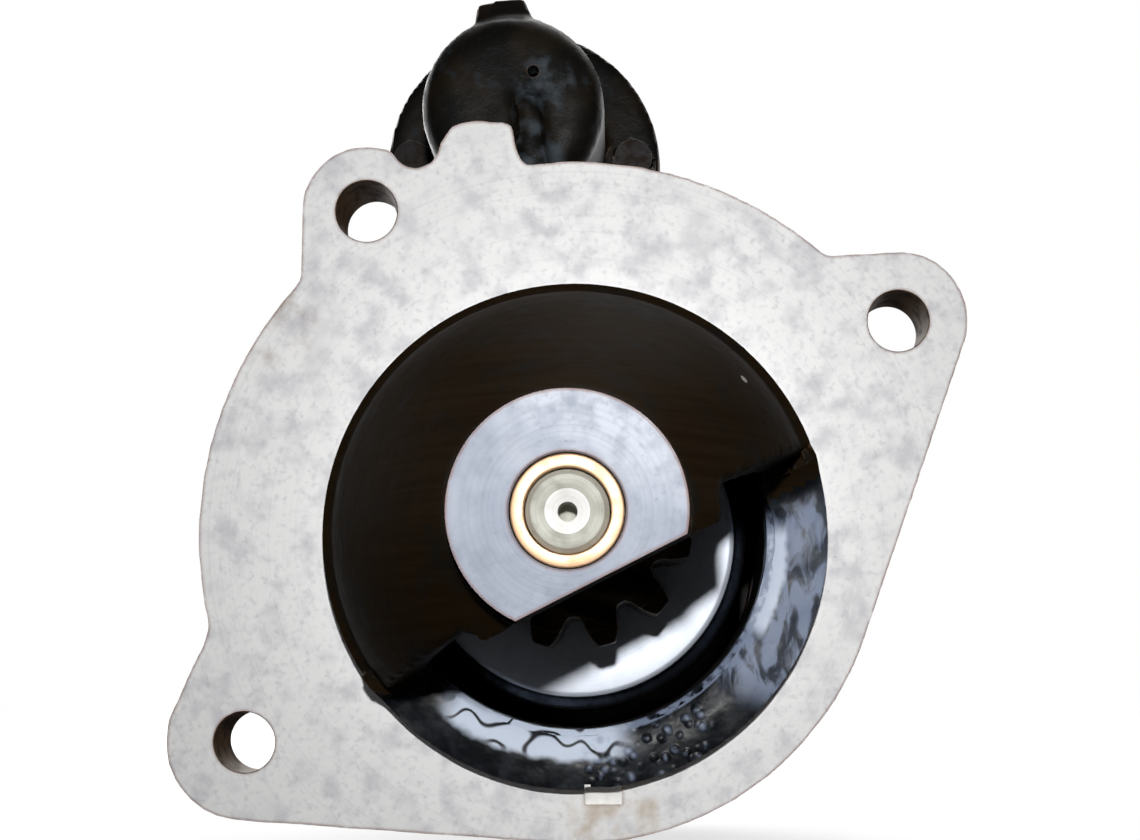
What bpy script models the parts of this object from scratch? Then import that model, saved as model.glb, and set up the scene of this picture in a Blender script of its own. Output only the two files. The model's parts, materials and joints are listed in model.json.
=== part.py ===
"""A pre-engaged starter motor, built as the separate pieces that come off it on a bench.

All sizes below are in millimetres and become metres when a mesh is made.
The shaft runs along Y. The nose points to -Y, the commutator end to +Y, and Z is up.
Pieces are drawn with y measured from the face of the mounting flange. The finished motor stands
further forward: its origin is the middle of the rear boss's end face, on the shaft line.
Most pieces are drawn with the solenoid straight above the shaft, in the "upright" frame, and hang
from one empty that leans that frame over, as the motor leans when its flange is bolted on.
"""

import math

import bmesh
import bpy
from mathutils import Matrix, Vector

MM = 0.001

# ---- driving dimensions -------------------------------------------------------------------------
GAP = 0.3
LEAN = math.radians(-8.5)
SOLENOID_HEIGHT = 84.3
TURNED_STEPS = 32
SMALL_STEPS = 12

# mounting flange
FLANGE_THICKNESS = 12.0
SEAT_Y = 12.8
SEAT_RADIUS = 10.0
SPIGOT_RADIUS = 44.45
SPIGOT_HEIGHT = 4.0
FLANGE_RADIUS = 67.3
FLANGE_SHORT_RADIUS = 54.4
HOLE_CIRCLE_RADIUS = 69.4
HOLE_RADIUS = 5.45
EARS = {"right": (34.1, 12.4), "upper_left": (122.6, 11.5), "lower_left": (211.5, 14.0)}

# nose and its window
NOSE_TIP_Y = -48.0
BOSS_RADIUS = 18.2
BOSS_LENGTH = 4.0
NOSE_WALL_Y = -37.0
WINDOW_ANGLE = math.radians(-63.0)
BOSS_FLAT = 11.2
WINDOW_DEPTH = 7.0
WINDOW_SKEW = math.radians(-3.0)
NOSE_BORE_RADIUS = 34.0

# barrel and turret of the drive end bracket
BARREL_END_Y = 60.0
BARREL_RADIUS = 56.0
BARREL_BORE_RADIUS = 46.0
TURRET_RADIUS = 17.3
TURRET_FRONT_Y = 14.0
TURRET_BORE_RADIUS = 12.8
SOLENOID_PAD_RADIUS = 28.8
SOLENOID_PAD_Y = (53.0, 58.4)
SOLENOID_SCREWS = ((22.8, SOLENOID_HEIGHT - 3.2), (-22.8, SOLENOID_HEIGHT + 3.2))

# motor
YOKE_Y = (66.0, 200.0)
YOKE_RADIUS = 57.0
YOKE_BORE_RADIUS = 52.0
POLE_ANGLES = (45.0, 135.0, 225.0, 315.0)
POLE_Y = (88.0, 148.0)
POLE_FACE_RADIUS = 35.2
THROUGH_BOLT_RADIUS = 47.0
CORE_RADIUS = 34.3
CORE_Y = (92.0, 144.0)
SLOTS = 20
COMMUTATOR_RADIUS = 19.5
COMMUTATOR_Y = (157.0, 188.0)
END_COVER_Y = 207.0
END_BOSS_Y = 222.0

# shaft, drive and its travel
JOURNAL_RADIUS = 6.35
BUSH_BORE_RADIUS = 6.55
BUSH_RADIUS = 8.6
SPLINE_TIP_RADIUS = 9.4
SPLINE_ROOT_RADIUS = 8.3
SPLINES = 8
PINION_TEETH = 11
PINION_PITCH_RADIUS = 17.46
PINION_TIP_RADIUS = 20.0
PINION_ROOT_RADIUS = 14.6
PINION_Y = (-16.7, 0.0)
CLUTCH_FACE_RADIUS = 28.3
CLUTCH_RADIUS = 30.5
DRIVE_TRAVEL = 14.0

# engaging lever: its pivot, its two arms and the angle that it swings through
PIVOT_Y = 37.0
PIVOT_HEIGHT = 50.0
FORK_ARM = PIVOT_HEIGHT
PLUNGER_ARM = SOLENOID_HEIGHT - PIVOT_HEIGHT
LEVER_SWING = DRIVE_TRAVEL / FORK_ARM
FORK_REST_Y = PIVOT_Y + FORK_ARM * math.sin(LEVER_SWING / 2)
CLEVIS_REST_Y = PIVOT_Y - PLUNGER_ARM * math.sin(LEVER_SWING / 2)
PIVOT_PIN_RADIUS = 4.0
CLEVIS_PIN_RADIUS = 2.4

# solenoid
SOLENOID_RADIUS = 26.5
SOLENOID_Y = (58.8, 116.0)
PLUNGER_RADIUS = 9.5
PLUNGER_TRAVEL = DRIVE_TRAVEL * PLUNGER_ARM / FORK_ARM
PLUNGER_REAR_Y = 83.0
CORE_FACE_Y = PLUNGER_REAR_Y + PLUNGER_TRAVEL + 0.4
FIXED_CONTACT_Y = 120.3
CONTACT_TRAVEL = 1.5
CAP_Y = (116.4, 138.0)
TERMINAL_OFFSET = 12.0
TERMINAL_RADIUS = 4.0
NUT_RADIUS = 7.5

# brush gear
BRUSH_Y = (172.0, 188.0)
BRUSH_HALF_WIDTH = 6.0
BRUSH_OUTER_RADIUS = 36.5
PLATE_Y = (192.0, 194.5)
SPRING_POST = (33.0, 15.5)

# field terminal and inspection band
FIELD_TERMINAL_Y = 160.0
BAND_Y = (171.0, 194.0)
BAND_RADIUS = 57.4

SHAFT_LINE = (0.0, 0.0, 0.0)
SOLENOID_LINE = (0.0, 0.0, SOLENOID_HEIGHT)
PIVOT_LINE = (0.0, PIVOT_Y, PIVOT_HEIGHT)


# ---- materials ----------------------------------------------------------------------------------
def material(name, colour, roughness, metallic):
    made = bpy.data.materials.new(name)
    made.use_nodes = True
    surface = made.node_tree.nodes["Principled BSDF"]
    surface.inputs["Base Color"].default_value = (*colour, 1.0)
    surface.inputs["Roughness"].default_value = roughness
    surface.inputs["Metallic"].default_value = metallic
    return made


def make_materials():
    return {
        "black_paint": material("black_paint", (0.02, 0.02, 0.02), 0.35, 0.0),
        "bare_casting": material("bare_casting", (0.72, 0.72, 0.73), 0.5, 0.6),
        "steel": material("steel", (0.45, 0.45, 0.46), 0.35, 1.0),
        "dark_steel": material("dark_steel", (0.14, 0.12, 0.10), 0.45, 0.9),
        "zinc": material("zinc", (0.75, 0.76, 0.78), 0.25, 1.0),
        "bronze": material("bronze", (0.72, 0.48, 0.28), 0.35, 1.0),
        "copper": material("copper", (0.72, 0.34, 0.20), 0.3, 1.0),
        "brass": material("brass", (0.75, 0.60, 0.28), 0.3, 1.0),
        "moulding": material("moulding", (0.03, 0.025, 0.02), 0.45, 0.0),
        "insulation": material("insulation", (0.55, 0.45, 0.30), 0.8, 0.0),
        "carbon": material("carbon", (0.06, 0.06, 0.065), 0.6, 0.2),
    }


# ---- building helpers ---------------------------------------------------------------------------
def new_object(name, points, faces, finish=None):
    """A mesh object from points in millimetres, with its faces turned to point out."""
    mesh = bpy.data.meshes.new(name)
    mesh.from_pydata([Vector(p) * MM for p in points], [], faces)
    shape = bmesh.new()
    shape.from_mesh(mesh)
    bmesh.ops.recalc_face_normals(shape, faces=shape.faces)
    shape.to_mesh(mesh)
    shape.free()
    made = bpy.data.objects.new(name, mesh)
    bpy.context.scene.collection.objects.link(made)
    if finish:
        mesh.materials.append(finish)
    return made


def lathe(name, profile, finish=None, steps=TURNED_STEPS, centre=(0.0, 0.0)):
    """A turned piece about the line parallel to Y through centre (x, z).

    The profile is (y, radius) points. A point with no radius closes the piece on its axis.
    """
    points = []
    rings = []
    for y, radius in profile:
        first = len(points)
        if radius == 0:
            points.append((centre[0], y, centre[1]))
            rings.append([first] * steps)
            continue
        for step in range(steps):
            turn = 2 * math.pi * (step + 0.5) / steps
            x = centre[0] + radius * math.cos(turn)
            z = centre[1] + radius * math.sin(turn)
            points.append((x, y, z))
        rings.append(list(range(first, first + steps)))
    faces = []
    closed_on_axis = profile[0][1] == 0
    pairs = list(zip(rings, rings[1:]))
    if not closed_on_axis:
        pairs.append((rings[-1], rings[0]))
    for ring, after in pairs:
        for step in range(steps):
            beside = (step + 1) % steps
            corners = [ring[step], ring[beside], after[beside], after[step]]
            faces.append(list(dict.fromkeys(corners)))
    return new_object(name, points, faces, finish)


def arc(centre, radius, start, end, steps):
    """Points on an arc in the XZ plane, from start to end in degrees."""
    points = []
    for step in range(steps + 1):
        turn = math.radians(start + (end - start) * step / steps)
        x = centre[0] + radius * math.cos(turn)
        z = centre[1] + radius * math.sin(turn)
        points.append((x, z))
    return points


def prism(name, outline, y_range, finish=None):
    """An outline of (x, z) points carried along Y."""
    count = len(outline)
    points = [(x, y, z) for y in y_range for x, z in outline]
    faces = [list(range(count)), list(range(count, 2 * count))]
    for i in range(count):
        j = (i + 1) % count
        faces.append([i, j, count + j, count + i])
    return new_object(name, points, faces, finish)


def cross_prism(name, outline, x_range, finish=None):
    """An outline of (y, z) points carried along X."""
    count = len(outline)
    points = [(x, y, z) for x in x_range for y, z in outline]
    faces = [list(range(count)), list(range(count, 2 * count))]
    for i in range(count):
        j = (i + 1) % count
        faces.append([i, j, count + j, count + i])
    return new_object(name, points, faces, finish)


def block(name, x_range, y_range, z_range, finish=None):
    x0, x1 = x_range
    z0, z1 = z_range
    return prism(name, [(x0, z0), (x1, z0), (x1, z1), (x0, z1)], y_range, finish)


def turned_to(piece, direction, foot):
    """Moves a piece turned along Y so that its Y axis runs along direction, from foot."""
    swing = Vector((0, 1, 0)).rotation_difference(Vector(direction)).to_matrix().to_4x4()
    piece.data.transform(Matrix.Translation(Vector(foot) * MM) @ swing)
    return piece


def leaned(piece):
    """Carries a piece drawn in the upright frame to where it stands on the flange."""
    piece.data.transform(Matrix.Rotation(LEAN, 4, "Y"))
    return piece


def turned_about_shaft(piece, degrees):
    piece.data.transform(Matrix.Rotation(-math.radians(degrees), 4, "Y"))
    return piece


def boolean(target, others, operation):
    """Joins or cuts target by the others, one at a time, and drops the others."""
    for other in others:
        change = target.modifiers.new("change", "BOOLEAN")
        change.operation = operation
        change.object = other
        bpy.context.view_layer.update()
        graph = bpy.context.evaluated_depsgraph_get()
        changed = bpy.data.meshes.new_from_object(target.evaluated_get(graph))
        target.modifiers.remove(change)
        before = target.data
        target.data = changed
        bpy.data.meshes.remove(before)
        bpy.data.objects.remove(other)
    target.data.name = target.name
    return target


def join(target, *others):
    return boolean(target, others, "UNION")


def cut(target, *others):
    return boolean(target, others, "DIFFERENCE")


def hexagon(radius, centre=(0.0, 0.0)):
    return arc(centre, radius, 30, 330, 5)


def toothed_outline(count, corners):
    """A closed outline that repeats (radius, share of one pitch) corners count times."""
    outline = []
    for tooth in range(count):
        for radius, share in corners:
            turn = 2 * math.pi * (tooth + share) / count
            outline.append((radius * math.cos(turn), radius * math.sin(turn)))
    return outline


def coil_points(radius, wire, y_range, turns, centre, around=5, steps_per_turn=10):
    """Points and faces of a round wire wound about a line parallel to Y."""
    count = int(turns * steps_per_turn) + 1
    pitch = (y_range[1] - y_range[0] - 2 * wire) / turns
    points = []
    for step in range(count):
        turn = 2 * math.pi * step / steps_per_turn
        y_mid = y_range[0] + wire + pitch * step / steps_per_turn
        for k in range(around):
            angle = 2 * math.pi * k / around
            out = radius + wire * math.cos(angle)
            y = y_mid + wire * math.sin(angle)
            x = centre[0] + out * math.cos(turn)
            z = centre[1] + out * math.sin(turn)
            points.append((x, y, z))
    faces = [list(range(around)), list(range((count - 1) * around, count * around))]
    for step in range(count - 1):
        for k in range(around):
            n = (k + 1) % around
            a = step * around
            b = a + around
            faces.append([a + k, a + n, b + n, b + k])
    return points, faces


def place(piece, line, lean_frame):
    """Puts a piece's origin on a line of the upright frame and hangs it from the leaning empty."""
    origin = Vector(line) * MM
    piece.data.transform(Matrix.Translation(-origin))
    piece.location = origin
    piece.parent = lean_frame
    return piece


# ---- drive end bracket --------------------------------------------------------------------------
def ear_centre(name):
    angle, _ = EARS[name]
    turn = math.radians(angle)
    return HOLE_CIRCLE_RADIUS * math.cos(turn), HOLE_CIRCLE_RADIUS * math.sin(turn)


def flange_outline():
    """The flange's edge, anticlockwise seen from the nose, from the right ear round to the start."""
    right = ear_centre("right")
    upper = ear_centre("upper_left")
    lower = ear_centre("lower_left")
    right_r = EARS["right"][1]
    upper_r = EARS["upper_left"][1]
    lower_r = EARS["lower_left"][1]
    outline = arc(right, right_r, -20, 88, 8)
    outline += arc((0, 0), FLANGE_RADIUS, 48.5, 96, 9)
    outline += [(-9.4, 69.4), (-10.5, 72.2), (-11.8, 74.2)]
    outline += arc((-17.4, 60.8), 13.8, 80, 108, 3)
    outline += [(-23.2, 72.4), (-24.4, 70.0)]
    outline += arc((-28.7, 70.4), 4.3, -15, -165, 5)
    outline += arc(upper, upper_r, 75, 182, 9)
    outline += arc((0, 0), FLANGE_RADIUS, 137, 193.5, 11)
    outline += [(-66.5, -19.0), (-68.5, -22.9)]
    outline += arc(lower, lower_r, 147, 268, 9)
    outline += arc((0, 0), FLANGE_SHORT_RADIUS, 268, 340, 13)
    return outline


def bell_radius(share):
    """Outer radius of the nose, from the spigot (0) to the boss (1)."""
    return 42.5 - 23.9 * share**1.7


def bell_bore(share):
    """Inner radius of the nose, from the spigot (0) to the wall behind the boss (1)."""
    return NOSE_BORE_RADIUS - 13.1 * share**1.8


def bracket_profile():
    """The turned shape of nose and barrel: outside from boss to rear, then inside back again."""
    boss_y = NOSE_TIP_Y + BOSS_LENGTH
    bush_hole = BUSH_RADIUS + GAP
    outside = [(NOSE_TIP_Y, bush_hole), (NOSE_TIP_Y, BOSS_RADIUS), (boss_y, BOSS_RADIUS)]
    shoulder_y = -SPIGOT_HEIGHT - 1.0
    for step in range(6, -1, -1):
        share = step / 6
        outside.append((shoulder_y + (boss_y - shoulder_y) * share, bell_radius(share)))
    outside += [(-SPIGOT_HEIGHT, SPIGOT_RADIUS), (6.0, SPIGOT_RADIUS + 1.0)]
    outside += [(20.0, 51.0), (46.0, BARREL_RADIUS), (BARREL_END_Y, BARREL_RADIUS)]
    inside = [(BARREL_END_Y, BARREL_BORE_RADIUS), (31.0, BARREL_BORE_RADIUS)]
    inside += [(25.5, 40.0), (24.0, NOSE_BORE_RADIUS)]
    for step in range(0, 5):
        share = step / 4
        inside.append((-2.0 + (NOSE_WALL_Y + 2.0) * share, bell_bore(share)))
    inside.append((NOSE_WALL_Y, bush_hole))
    return outside + inside


def window_cutters():
    """The opening that lets the pinion out, and the flat that it leaves on the boss."""
    far = 80.0
    window = block("window", (-far, far), (NOSE_WALL_Y - 1.0, -3.2), (WINDOW_DEPTH, far))
    window.data.transform(Matrix.Rotation(WINDOW_SKEW, 4, "Y"))
    flat = block("flat", (-far, far), (NOSE_TIP_Y - 2.0, NOSE_WALL_Y + 0.4), (BOSS_FLAT, far))
    for cutter in (window, flat):
        cutter.data.transform(Matrix.Rotation(math.pi / 2 - WINDOW_ANGLE, 4, "Y"))
    return window, flat


def turret_pieces():
    """What rises from the barrel to carry the solenoid, in the upright frame."""
    centre = (0.0, SOLENOID_HEIGHT)
    front = TURRET_FRONT_Y
    dome = [(front, 0), (front, 12.5), (front + 1.3, 15.6), (front + 4.0, TURRET_RADIUS)]
    dome += [(SOLENOID_PAD_Y[0] + 1.0, TURRET_RADIUS), (SOLENOID_PAD_Y[0] + 1.0, 0)]
    turret = lathe("turret", dome, centre=centre, steps=24)
    pad_y = SOLENOID_PAD_Y
    pad_profile = [(pad_y[0], 0), (pad_y[0], SOLENOID_PAD_RADIUS - 1)]
    pad_profile += [(pad_y[0] + 1, SOLENOID_PAD_RADIUS), (pad_y[1], SOLENOID_PAD_RADIUS)]
    pad = lathe("pad", pad_profile + [(pad_y[1], 0)], centre=centre, steps=28)
    web = prism("web", [(-16, 47.5), (16, 47.5), (13, 80), (-13, 80)], (26.0, 55.0))
    top = SOLENOID_HEIGHT + TURRET_RADIUS
    lug_outline = [(-5.4, top - 3), (6.1, top - 3), (4.7, top + 3.4), (-3.4, top + 3.4)]
    lug = prism("lug", lug_outline, (19.0, 31.0))
    rib = prism("rib", [(0.2, 58), (5.0, 58), (4.6, 84), (0.8, 84)], (11.0, 17.0))
    return turret, pad, web, lug, rib


def ear_gusset(name):
    """A rib behind one ear that braces it against the barrel."""
    angle, radius = EARS[name]
    reach = HOLE_CIRCLE_RADIUS - radius - 0.9
    outline = [(11.0, 40.0), (11.0, reach), (13.0, reach), (34.0, 49.0), (34.0, 40.0)]
    rib = cross_prism("gusset", outline, (-2.5, 2.5))
    return turned_about_shaft(rib, angle - 90)


def ear_seat(name):
    """Raised face behind one ear that the bolt's head sits on."""
    base = FLANGE_THICKNESS - 2.0
    profile = [(base, 0), (base, SEAT_RADIUS), (SEAT_Y, SEAT_RADIUS), (SEAT_Y, 0)]
    return lathe("seat", profile, steps=24, centre=ear_centre(name))


def make_drive_end_bracket(finish):
    bracket = lathe("drive_end_bracket", bracket_profile(), finish)
    plate = prism("plate", flange_outline(), (0.0, FLANGE_THICKNESS))
    through = [(-1, 0), (-1, 40), (13, 40), (13, 0)]
    cut(plate, lathe("plate_hole", through))
    join(bracket, plate)
    join(bracket, *[ear_gusset(name) for name in EARS])
    join(bracket, *[ear_seat(name) for name in EARS])
    join(bracket, *[leaned(piece) for piece in turret_pieces()])
    bosses = []
    for side in (-1, 1):
        boss = lathe("boss", [(36, 0), (40, 7.2), (57, 7.2), (57, 0)], steps=SMALL_STEPS,
                     centre=(side * THROUGH_BOLT_RADIUS, 0))
        bosses.append(leaned(boss))
    join(bracket, *bosses)

    centre = (0.0, SOLENOID_HEIGHT)
    bore_y = (TURRET_FRONT_Y + 4.0, 61.0)
    bore = lathe("bore", [(bore_y[0], 0), (bore_y[0], TURRET_BORE_RADIUS),
                          (bore_y[1], TURRET_BORE_RADIUS), (bore_y[1], 0)],
                 centre=centre, steps=24)
    slot = block("slot", (-3.6, 3.6), (24.0, 50.0), (30.0, SOLENOID_HEIGHT))
    pivot_radius = PIVOT_PIN_RADIUS + GAP
    pivot = turned_to(lathe("pivot", [(0, 0), (0, pivot_radius), (60, pivot_radius), (60, 0)],
                            steps=SMALL_STEPS), (1, 0, 0), (-30, PIVOT_Y, PIVOT_HEIGHT))
    spot_faces = []
    for side in (-1, 1):
        face = lathe("face", [(0, 0), (0, 9.5), (20, 9.5), (20, 0)], steps=24)
        spot_faces.append(turned_to(face, (side, 0, 0), (side * 15.0, PIVOT_Y, PIVOT_HEIGHT)))
    cutters = [bore, slot, pivot, *spot_faces]
    for x, z in SOLENOID_SCREWS:
        hole = lathe("hole", [(52, 0), (52, 3.3), (60, 3.3), (60, 0)], steps=SMALL_STEPS,
                     centre=(x, z))
        cutters.append(hole)
    for side in (-1, 1):
        hole = lathe("hole", [(42, 0), (42, 3.5), (62, 3.5), (62, 0)], steps=18,
                     centre=(side * THROUGH_BOLT_RADIUS, 0))
        cutters.append(hole)
    vent = lathe("vent", [(10, 0), (10, 1.1), (20, 1.1), (20, 0)], steps=10, centre=(4.8, 89.0))
    cut(bracket, *[leaned(piece) for piece in cutters], leaned(vent))

    holes = []
    for name in EARS:
        profile = [(-2, 0), (-2, HOLE_RADIUS), (14, HOLE_RADIUS), (14, 0)]
        holes.append(lathe("hole", profile, steps=28, centre=ear_centre(name)))
    cut(bracket, *holes)
    cut(bracket, *window_cutters())
    return bracket


# ---- bearings and plates ------------------------------------------------------------------------
def make_bush(name, y_range, radii, finish):
    inner, outer = radii
    return lathe(name, [(y_range[0], inner), (y_range[0], outer),
                        (y_range[1], outer), (y_range[1], inner)], finish, steps=24)


def make_intermediate_bracket(finish):
    hub = 14.0
    hole = 12.0
    profile = [(57.0, hole), (57.0, hub), (60.3, hub), (60.3, 36.0), (57.5, 36.0)]
    profile += [(57.5, BARREL_BORE_RADIUS - GAP - 0.2), (60.3, BARREL_BORE_RADIUS - GAP - 0.2)]
    profile += [(60.3, 56.5), (65.7, 56.5), (65.7, YOKE_BORE_RADIUS - GAP)]
    profile += [(68.0, YOKE_BORE_RADIUS - GAP), (68.0, 48.0), (65.7, 48.0), (65.7, hub)]
    profile += [(70.0, hub), (70.0, hole)]
    plate = lathe("intermediate_bracket", profile, finish)
    holes = []
    for side in (-1, 1):
        holes.append(lathe("hole", [(50, 0), (50, 3.5), (75, 3.5), (75, 0)], steps=SMALL_STEPS,
                           centre=(side * THROUGH_BOLT_RADIUS, 0)))
    return cut(plate, *holes)


def make_end_bracket(finish):
    """Rear cover with the blind bush hole, four ribs outside and four posts inside."""
    inner_boss = 14.0
    bush_hole = 9.3
    profile = [(218.5, 0), (218.5, bush_hole), (196.5, bush_hole), (196.5, inner_boss)]
    profile += [(203.0, inner_boss), (203.0, 42.0), (197.0, 42.0)]
    profile += [(197.0, YOKE_BORE_RADIUS - GAP), (200.3, YOKE_BORE_RADIUS - GAP)]
    profile += [(200.3, YOKE_RADIUS), (204.5, YOKE_RADIUS), (END_COVER_Y, YOKE_RADIUS - 2.5)]
    profile += [(END_COVER_Y, 24.0), (210.0, 17.0), (END_BOSS_Y - 1.5, 15.0)]
    profile += [(END_BOSS_Y, 13.0), (END_BOSS_Y, 0)]
    cover = lathe("commutator_end_bracket", profile, finish)
    posts = []
    for angle in (0, 90, 180, 270):
        x, z = arc((0, 0), 33.5, angle, angle + 1, 1)[0]
        posts.append(lathe("post", [(PLATE_Y[1] + GAP, 0), (PLATE_Y[1] + GAP, 3.0),
                                    (204, 3.0), (204, 0)], steps=8, centre=(x, z)))
    rib_outline = [(204.0, 10.0), (204.0, 50.0), (208.0, 50.0), (214.5, 20.0), (214.5, 10.0)]
    ribs = []
    for angle in POLE_ANGLES:
        ribs.append(turned_about_shaft(cross_prism("rib", rib_outline, (-1.6, 1.6)), angle - 90))
    join(cover, *posts, *ribs)
    holes = []
    for side in (-1, 1):
        holes.append(lathe("hole", [(190, 0), (190, 3.5), (215, 3.5), (215, 0)],
                           steps=SMALL_STEPS, centre=(side * THROUGH_BOLT_RADIUS, 0)))
    return cut(cover, *holes)


def make_through_bolt(name, side, finish):
    centre = (side * THROUGH_BOLT_RADIUS, 0.0)
    head_y = END_COVER_Y + GAP
    shank = lathe(name, [(44.0, 0), (44.0, 2.6), (45.0, 3.1), (head_y + 2, 3.1), (head_y + 2, 0)],
                  finish, steps=SMALL_STEPS, centre=centre)
    washer = lathe("washer", [(head_y, 0), (head_y, 7.2), (head_y + 1.2, 7.2), (head_y + 1.2, 0)],
                   steps=SMALL_STEPS, centre=centre)
    head = prism("head", hexagon(6.3, centre), (head_y + 1.0, head_y + 5.5))
    return join(shank, washer, head)


# ---- yoke, poles and coils ----------------------------------------------------------------------
def radial_piece(name, profile, angle, y, finish=None, steps=SMALL_STEPS):
    """A turned piece whose axis points out from the shaft: the profile is (distance, radius)."""
    turn = math.radians(angle)
    piece = lathe(name, profile, finish, steps=steps)
    return turned_to(piece, (math.cos(turn), 0, math.sin(turn)), (0, y, 0))


def make_yoke(finish):
    yoke = lathe("yoke", [(YOKE_Y[0], YOKE_BORE_RADIUS), (YOKE_Y[0], YOKE_RADIUS),
                          (YOKE_Y[1], YOKE_RADIUS), (YOKE_Y[1], YOKE_BORE_RADIUS)], finish)
    cutters = []
    screw_y = sum(POLE_Y) / 2
    for angle in POLE_ANGLES:
        window = block("window", (45, 70), (174, 190), (-13, 13))
        cutters.append(turned_about_shaft(window, angle))
        sink = [(40, 0), (40, 4.8), (52.9, 4.8), (57.2, 8.6), (60, 8.6), (60, 0)]
        cutters.append(radial_piece("sink", sink, angle, screw_y))
    terminal = [(45, 0), (45, 6.0), (62, 6.0), (62, 0)]
    cutters.append(radial_piece("terminal", terminal, 90, FIELD_TERMINAL_Y))
    return cut(yoke, *cutters)


def make_pole_shoe(name, angle, finish):
    outline = arc((0, 0), POLE_FACE_RADIUS, -30, 30, 10)
    outline += [arc((0, 0), 37.3, 30, 31, 1)[0], arc((0, 0), 38.6, 15.5, 16, 1)[0]]
    outline += arc((0, 0), YOKE_BORE_RADIUS - 0.5, 14.5, -14.5, 5)
    outline += [arc((0, 0), 38.6, -15.5, -16, 1)[0], arc((0, 0), 37.3, -30, -31, 1)[0]]
    shoe = prism(name, outline, POLE_Y, finish)
    hole = turned_to(lathe("hole", [(41.5, 0), (41.5, 4.7), (60, 4.7), (60, 0)],
                           steps=SMALL_STEPS), (1, 0, 0), (0, sum(POLE_Y) / 2, 0))
    return turned_about_shaft(cut(shoe, hole), angle)


def make_pole_screw(name, angle, finish):
    profile = [(42.5, 0), (42.5, 4.1), (53.4, 4.1), (56.8, 7.6), (56.8, 0)]
    screw = radial_piece(name, profile, 0, sum(POLE_Y) / 2, finish)
    slot_y = sum(POLE_Y) / 2
    cut(screw, block("slot", (55.2, 60), (slot_y - 0.9, slot_y + 0.9), (-10, 10)))
    return turned_about_shaft(screw, angle)


def make_field_coil(name, angle, finish=None):
    """One coil: a flat band that runs round its pole and lies against the yoke."""
    radii = (40.0, 51.2)
    inner = (17.0, POLE_Y[0] - 2.5, POLE_Y[1] + 2.5, 2.4, 2.2)
    outer = (26.5, POLE_Y[0] - 9.0, POLE_Y[1] + 9.0, 7.0, 6.0)

    def loop(half, y0, y1, corner_turn, corner_y):
        """Eight corners of a rectangle with its corners cut off, as (degrees, y)."""
        reach = half - corner_turn
        return [(-reach, y0), (reach, y0), (half, y0 + corner_y), (half, y1 - corner_y),
                (reach, y1), (-reach, y1), (-half, y1 - corner_y), (-half, y0 + corner_y)]

    points = []
    for radius in radii:
        for ring in (loop(*outer), loop(*inner)):
            for degrees, y in ring:
                turn = math.radians(degrees + angle)
                points.append((radius * math.cos(turn), y, radius * math.sin(turn)))
    faces = []
    for i in range(8):
        j = (i + 1) % 8
        faces.append([i, j, 8 + j, 8 + i])
        faces.append([16 + i, 16 + j, 24 + j, 24 + i])
        faces.append([i, j, 16 + j, 16 + i])
        faces.append([8 + i, 8 + j, 24 + j, 24 + i])
    return new_object(name, points, faces, finish)


def make_field_coil_set(finish):
    coils = [make_field_coil("coil", angle) for angle in POLE_ANGLES[1:]]
    first = make_field_coil("field_coil_set", POLE_ANGLES[0], finish)
    link_y = (POLE_Y[1] + 3.0, POLE_Y[1] + 8.0)
    link = lathe("link", [(link_y[0], 38.6), (link_y[0], 41.5), (link_y[1], 41.5),
                          (link_y[1], 38.6)], steps=TURNED_STEPS)
    cut(link, block("open", (30, 60), (140, 170), (-18, 18)))
    return join(first, link, *coils)


# ---- armature -----------------------------------------------------------------------------------
def make_shaft(finish):
    profile = [(-47.2, 0), (-47.2, 5.6), (-46.4, JOURNAL_RADIUS), (24.0, JOURNAL_RADIUS)]
    profile += [(24.0, SPLINE_ROOT_RADIUS), (55.4, SPLINE_ROOT_RADIUS), (55.4, 9.0)]
    profile += [(74.0, 9.0), (74.0, 9.7), (192.0, 9.7)]
    profile += [(192.0, JOURNAL_RADIUS), (216.5, JOURNAL_RADIUS), (216.5, 0)]
    shaft = lathe("armature_shaft", profile, finish, steps=24)
    corners = [(7.0, 0.26), (SPLINE_TIP_RADIUS, 0.30), (SPLINE_TIP_RADIUS, 0.70), (7.0, 0.74)]
    splines = prism("splines", toothed_outline(SPLINES, corners), (25.0, 55.0))
    join(shaft, splines)
    drill = [(-48, 0), (-48, 4.2), (-45.2, 1.5), (-41.5, 1.5), (-41.0, 0)]
    return cut(shaft, lathe("drill", drill, steps=24))


def make_core(finish):
    corners = [(CORE_RADIUS, 0.0), (CORE_RADIUS, 0.62), (23.0, 0.62), (23.0, 1.0)]
    core = prism("armature_core", toothed_outline(SLOTS, corners), CORE_Y, finish)
    return cut(core, lathe("bore", [(80, 0), (80, 10.35), (150, 10.35), (150, 0)], steps=24))


def make_windings(finish):
    """Bars in the core's slots, joined by the end turns at each end."""
    front = [(82.0, 18.0), (83.5, 30.0), (CORE_Y[0] - 0.6, 32.6), (CORE_Y[0] - 0.6, 18.0)]
    rear = [(CORE_Y[1] + 0.6, 18.0), (CORE_Y[1] + 0.6, 32.6), (150.5, 31.0), (155.6, 22.0)]
    rear += [(155.6, 18.0)]
    windings = lathe("armature_windings", front, finish, steps=24)
    pitch = 360 / SLOTS
    slot_middle = 0.81 * pitch
    bars = []
    for slot in range(SLOTS):
        bar = block("bar", (24.0, 32.0), (CORE_Y[0] - 2, CORE_Y[1] + 2), (-1.1, 1.1))
        bars.append(turned_about_shaft(bar, slot * pitch + slot_middle))
    return join(windings, *bars, lathe("rear", rear, steps=24))


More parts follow.
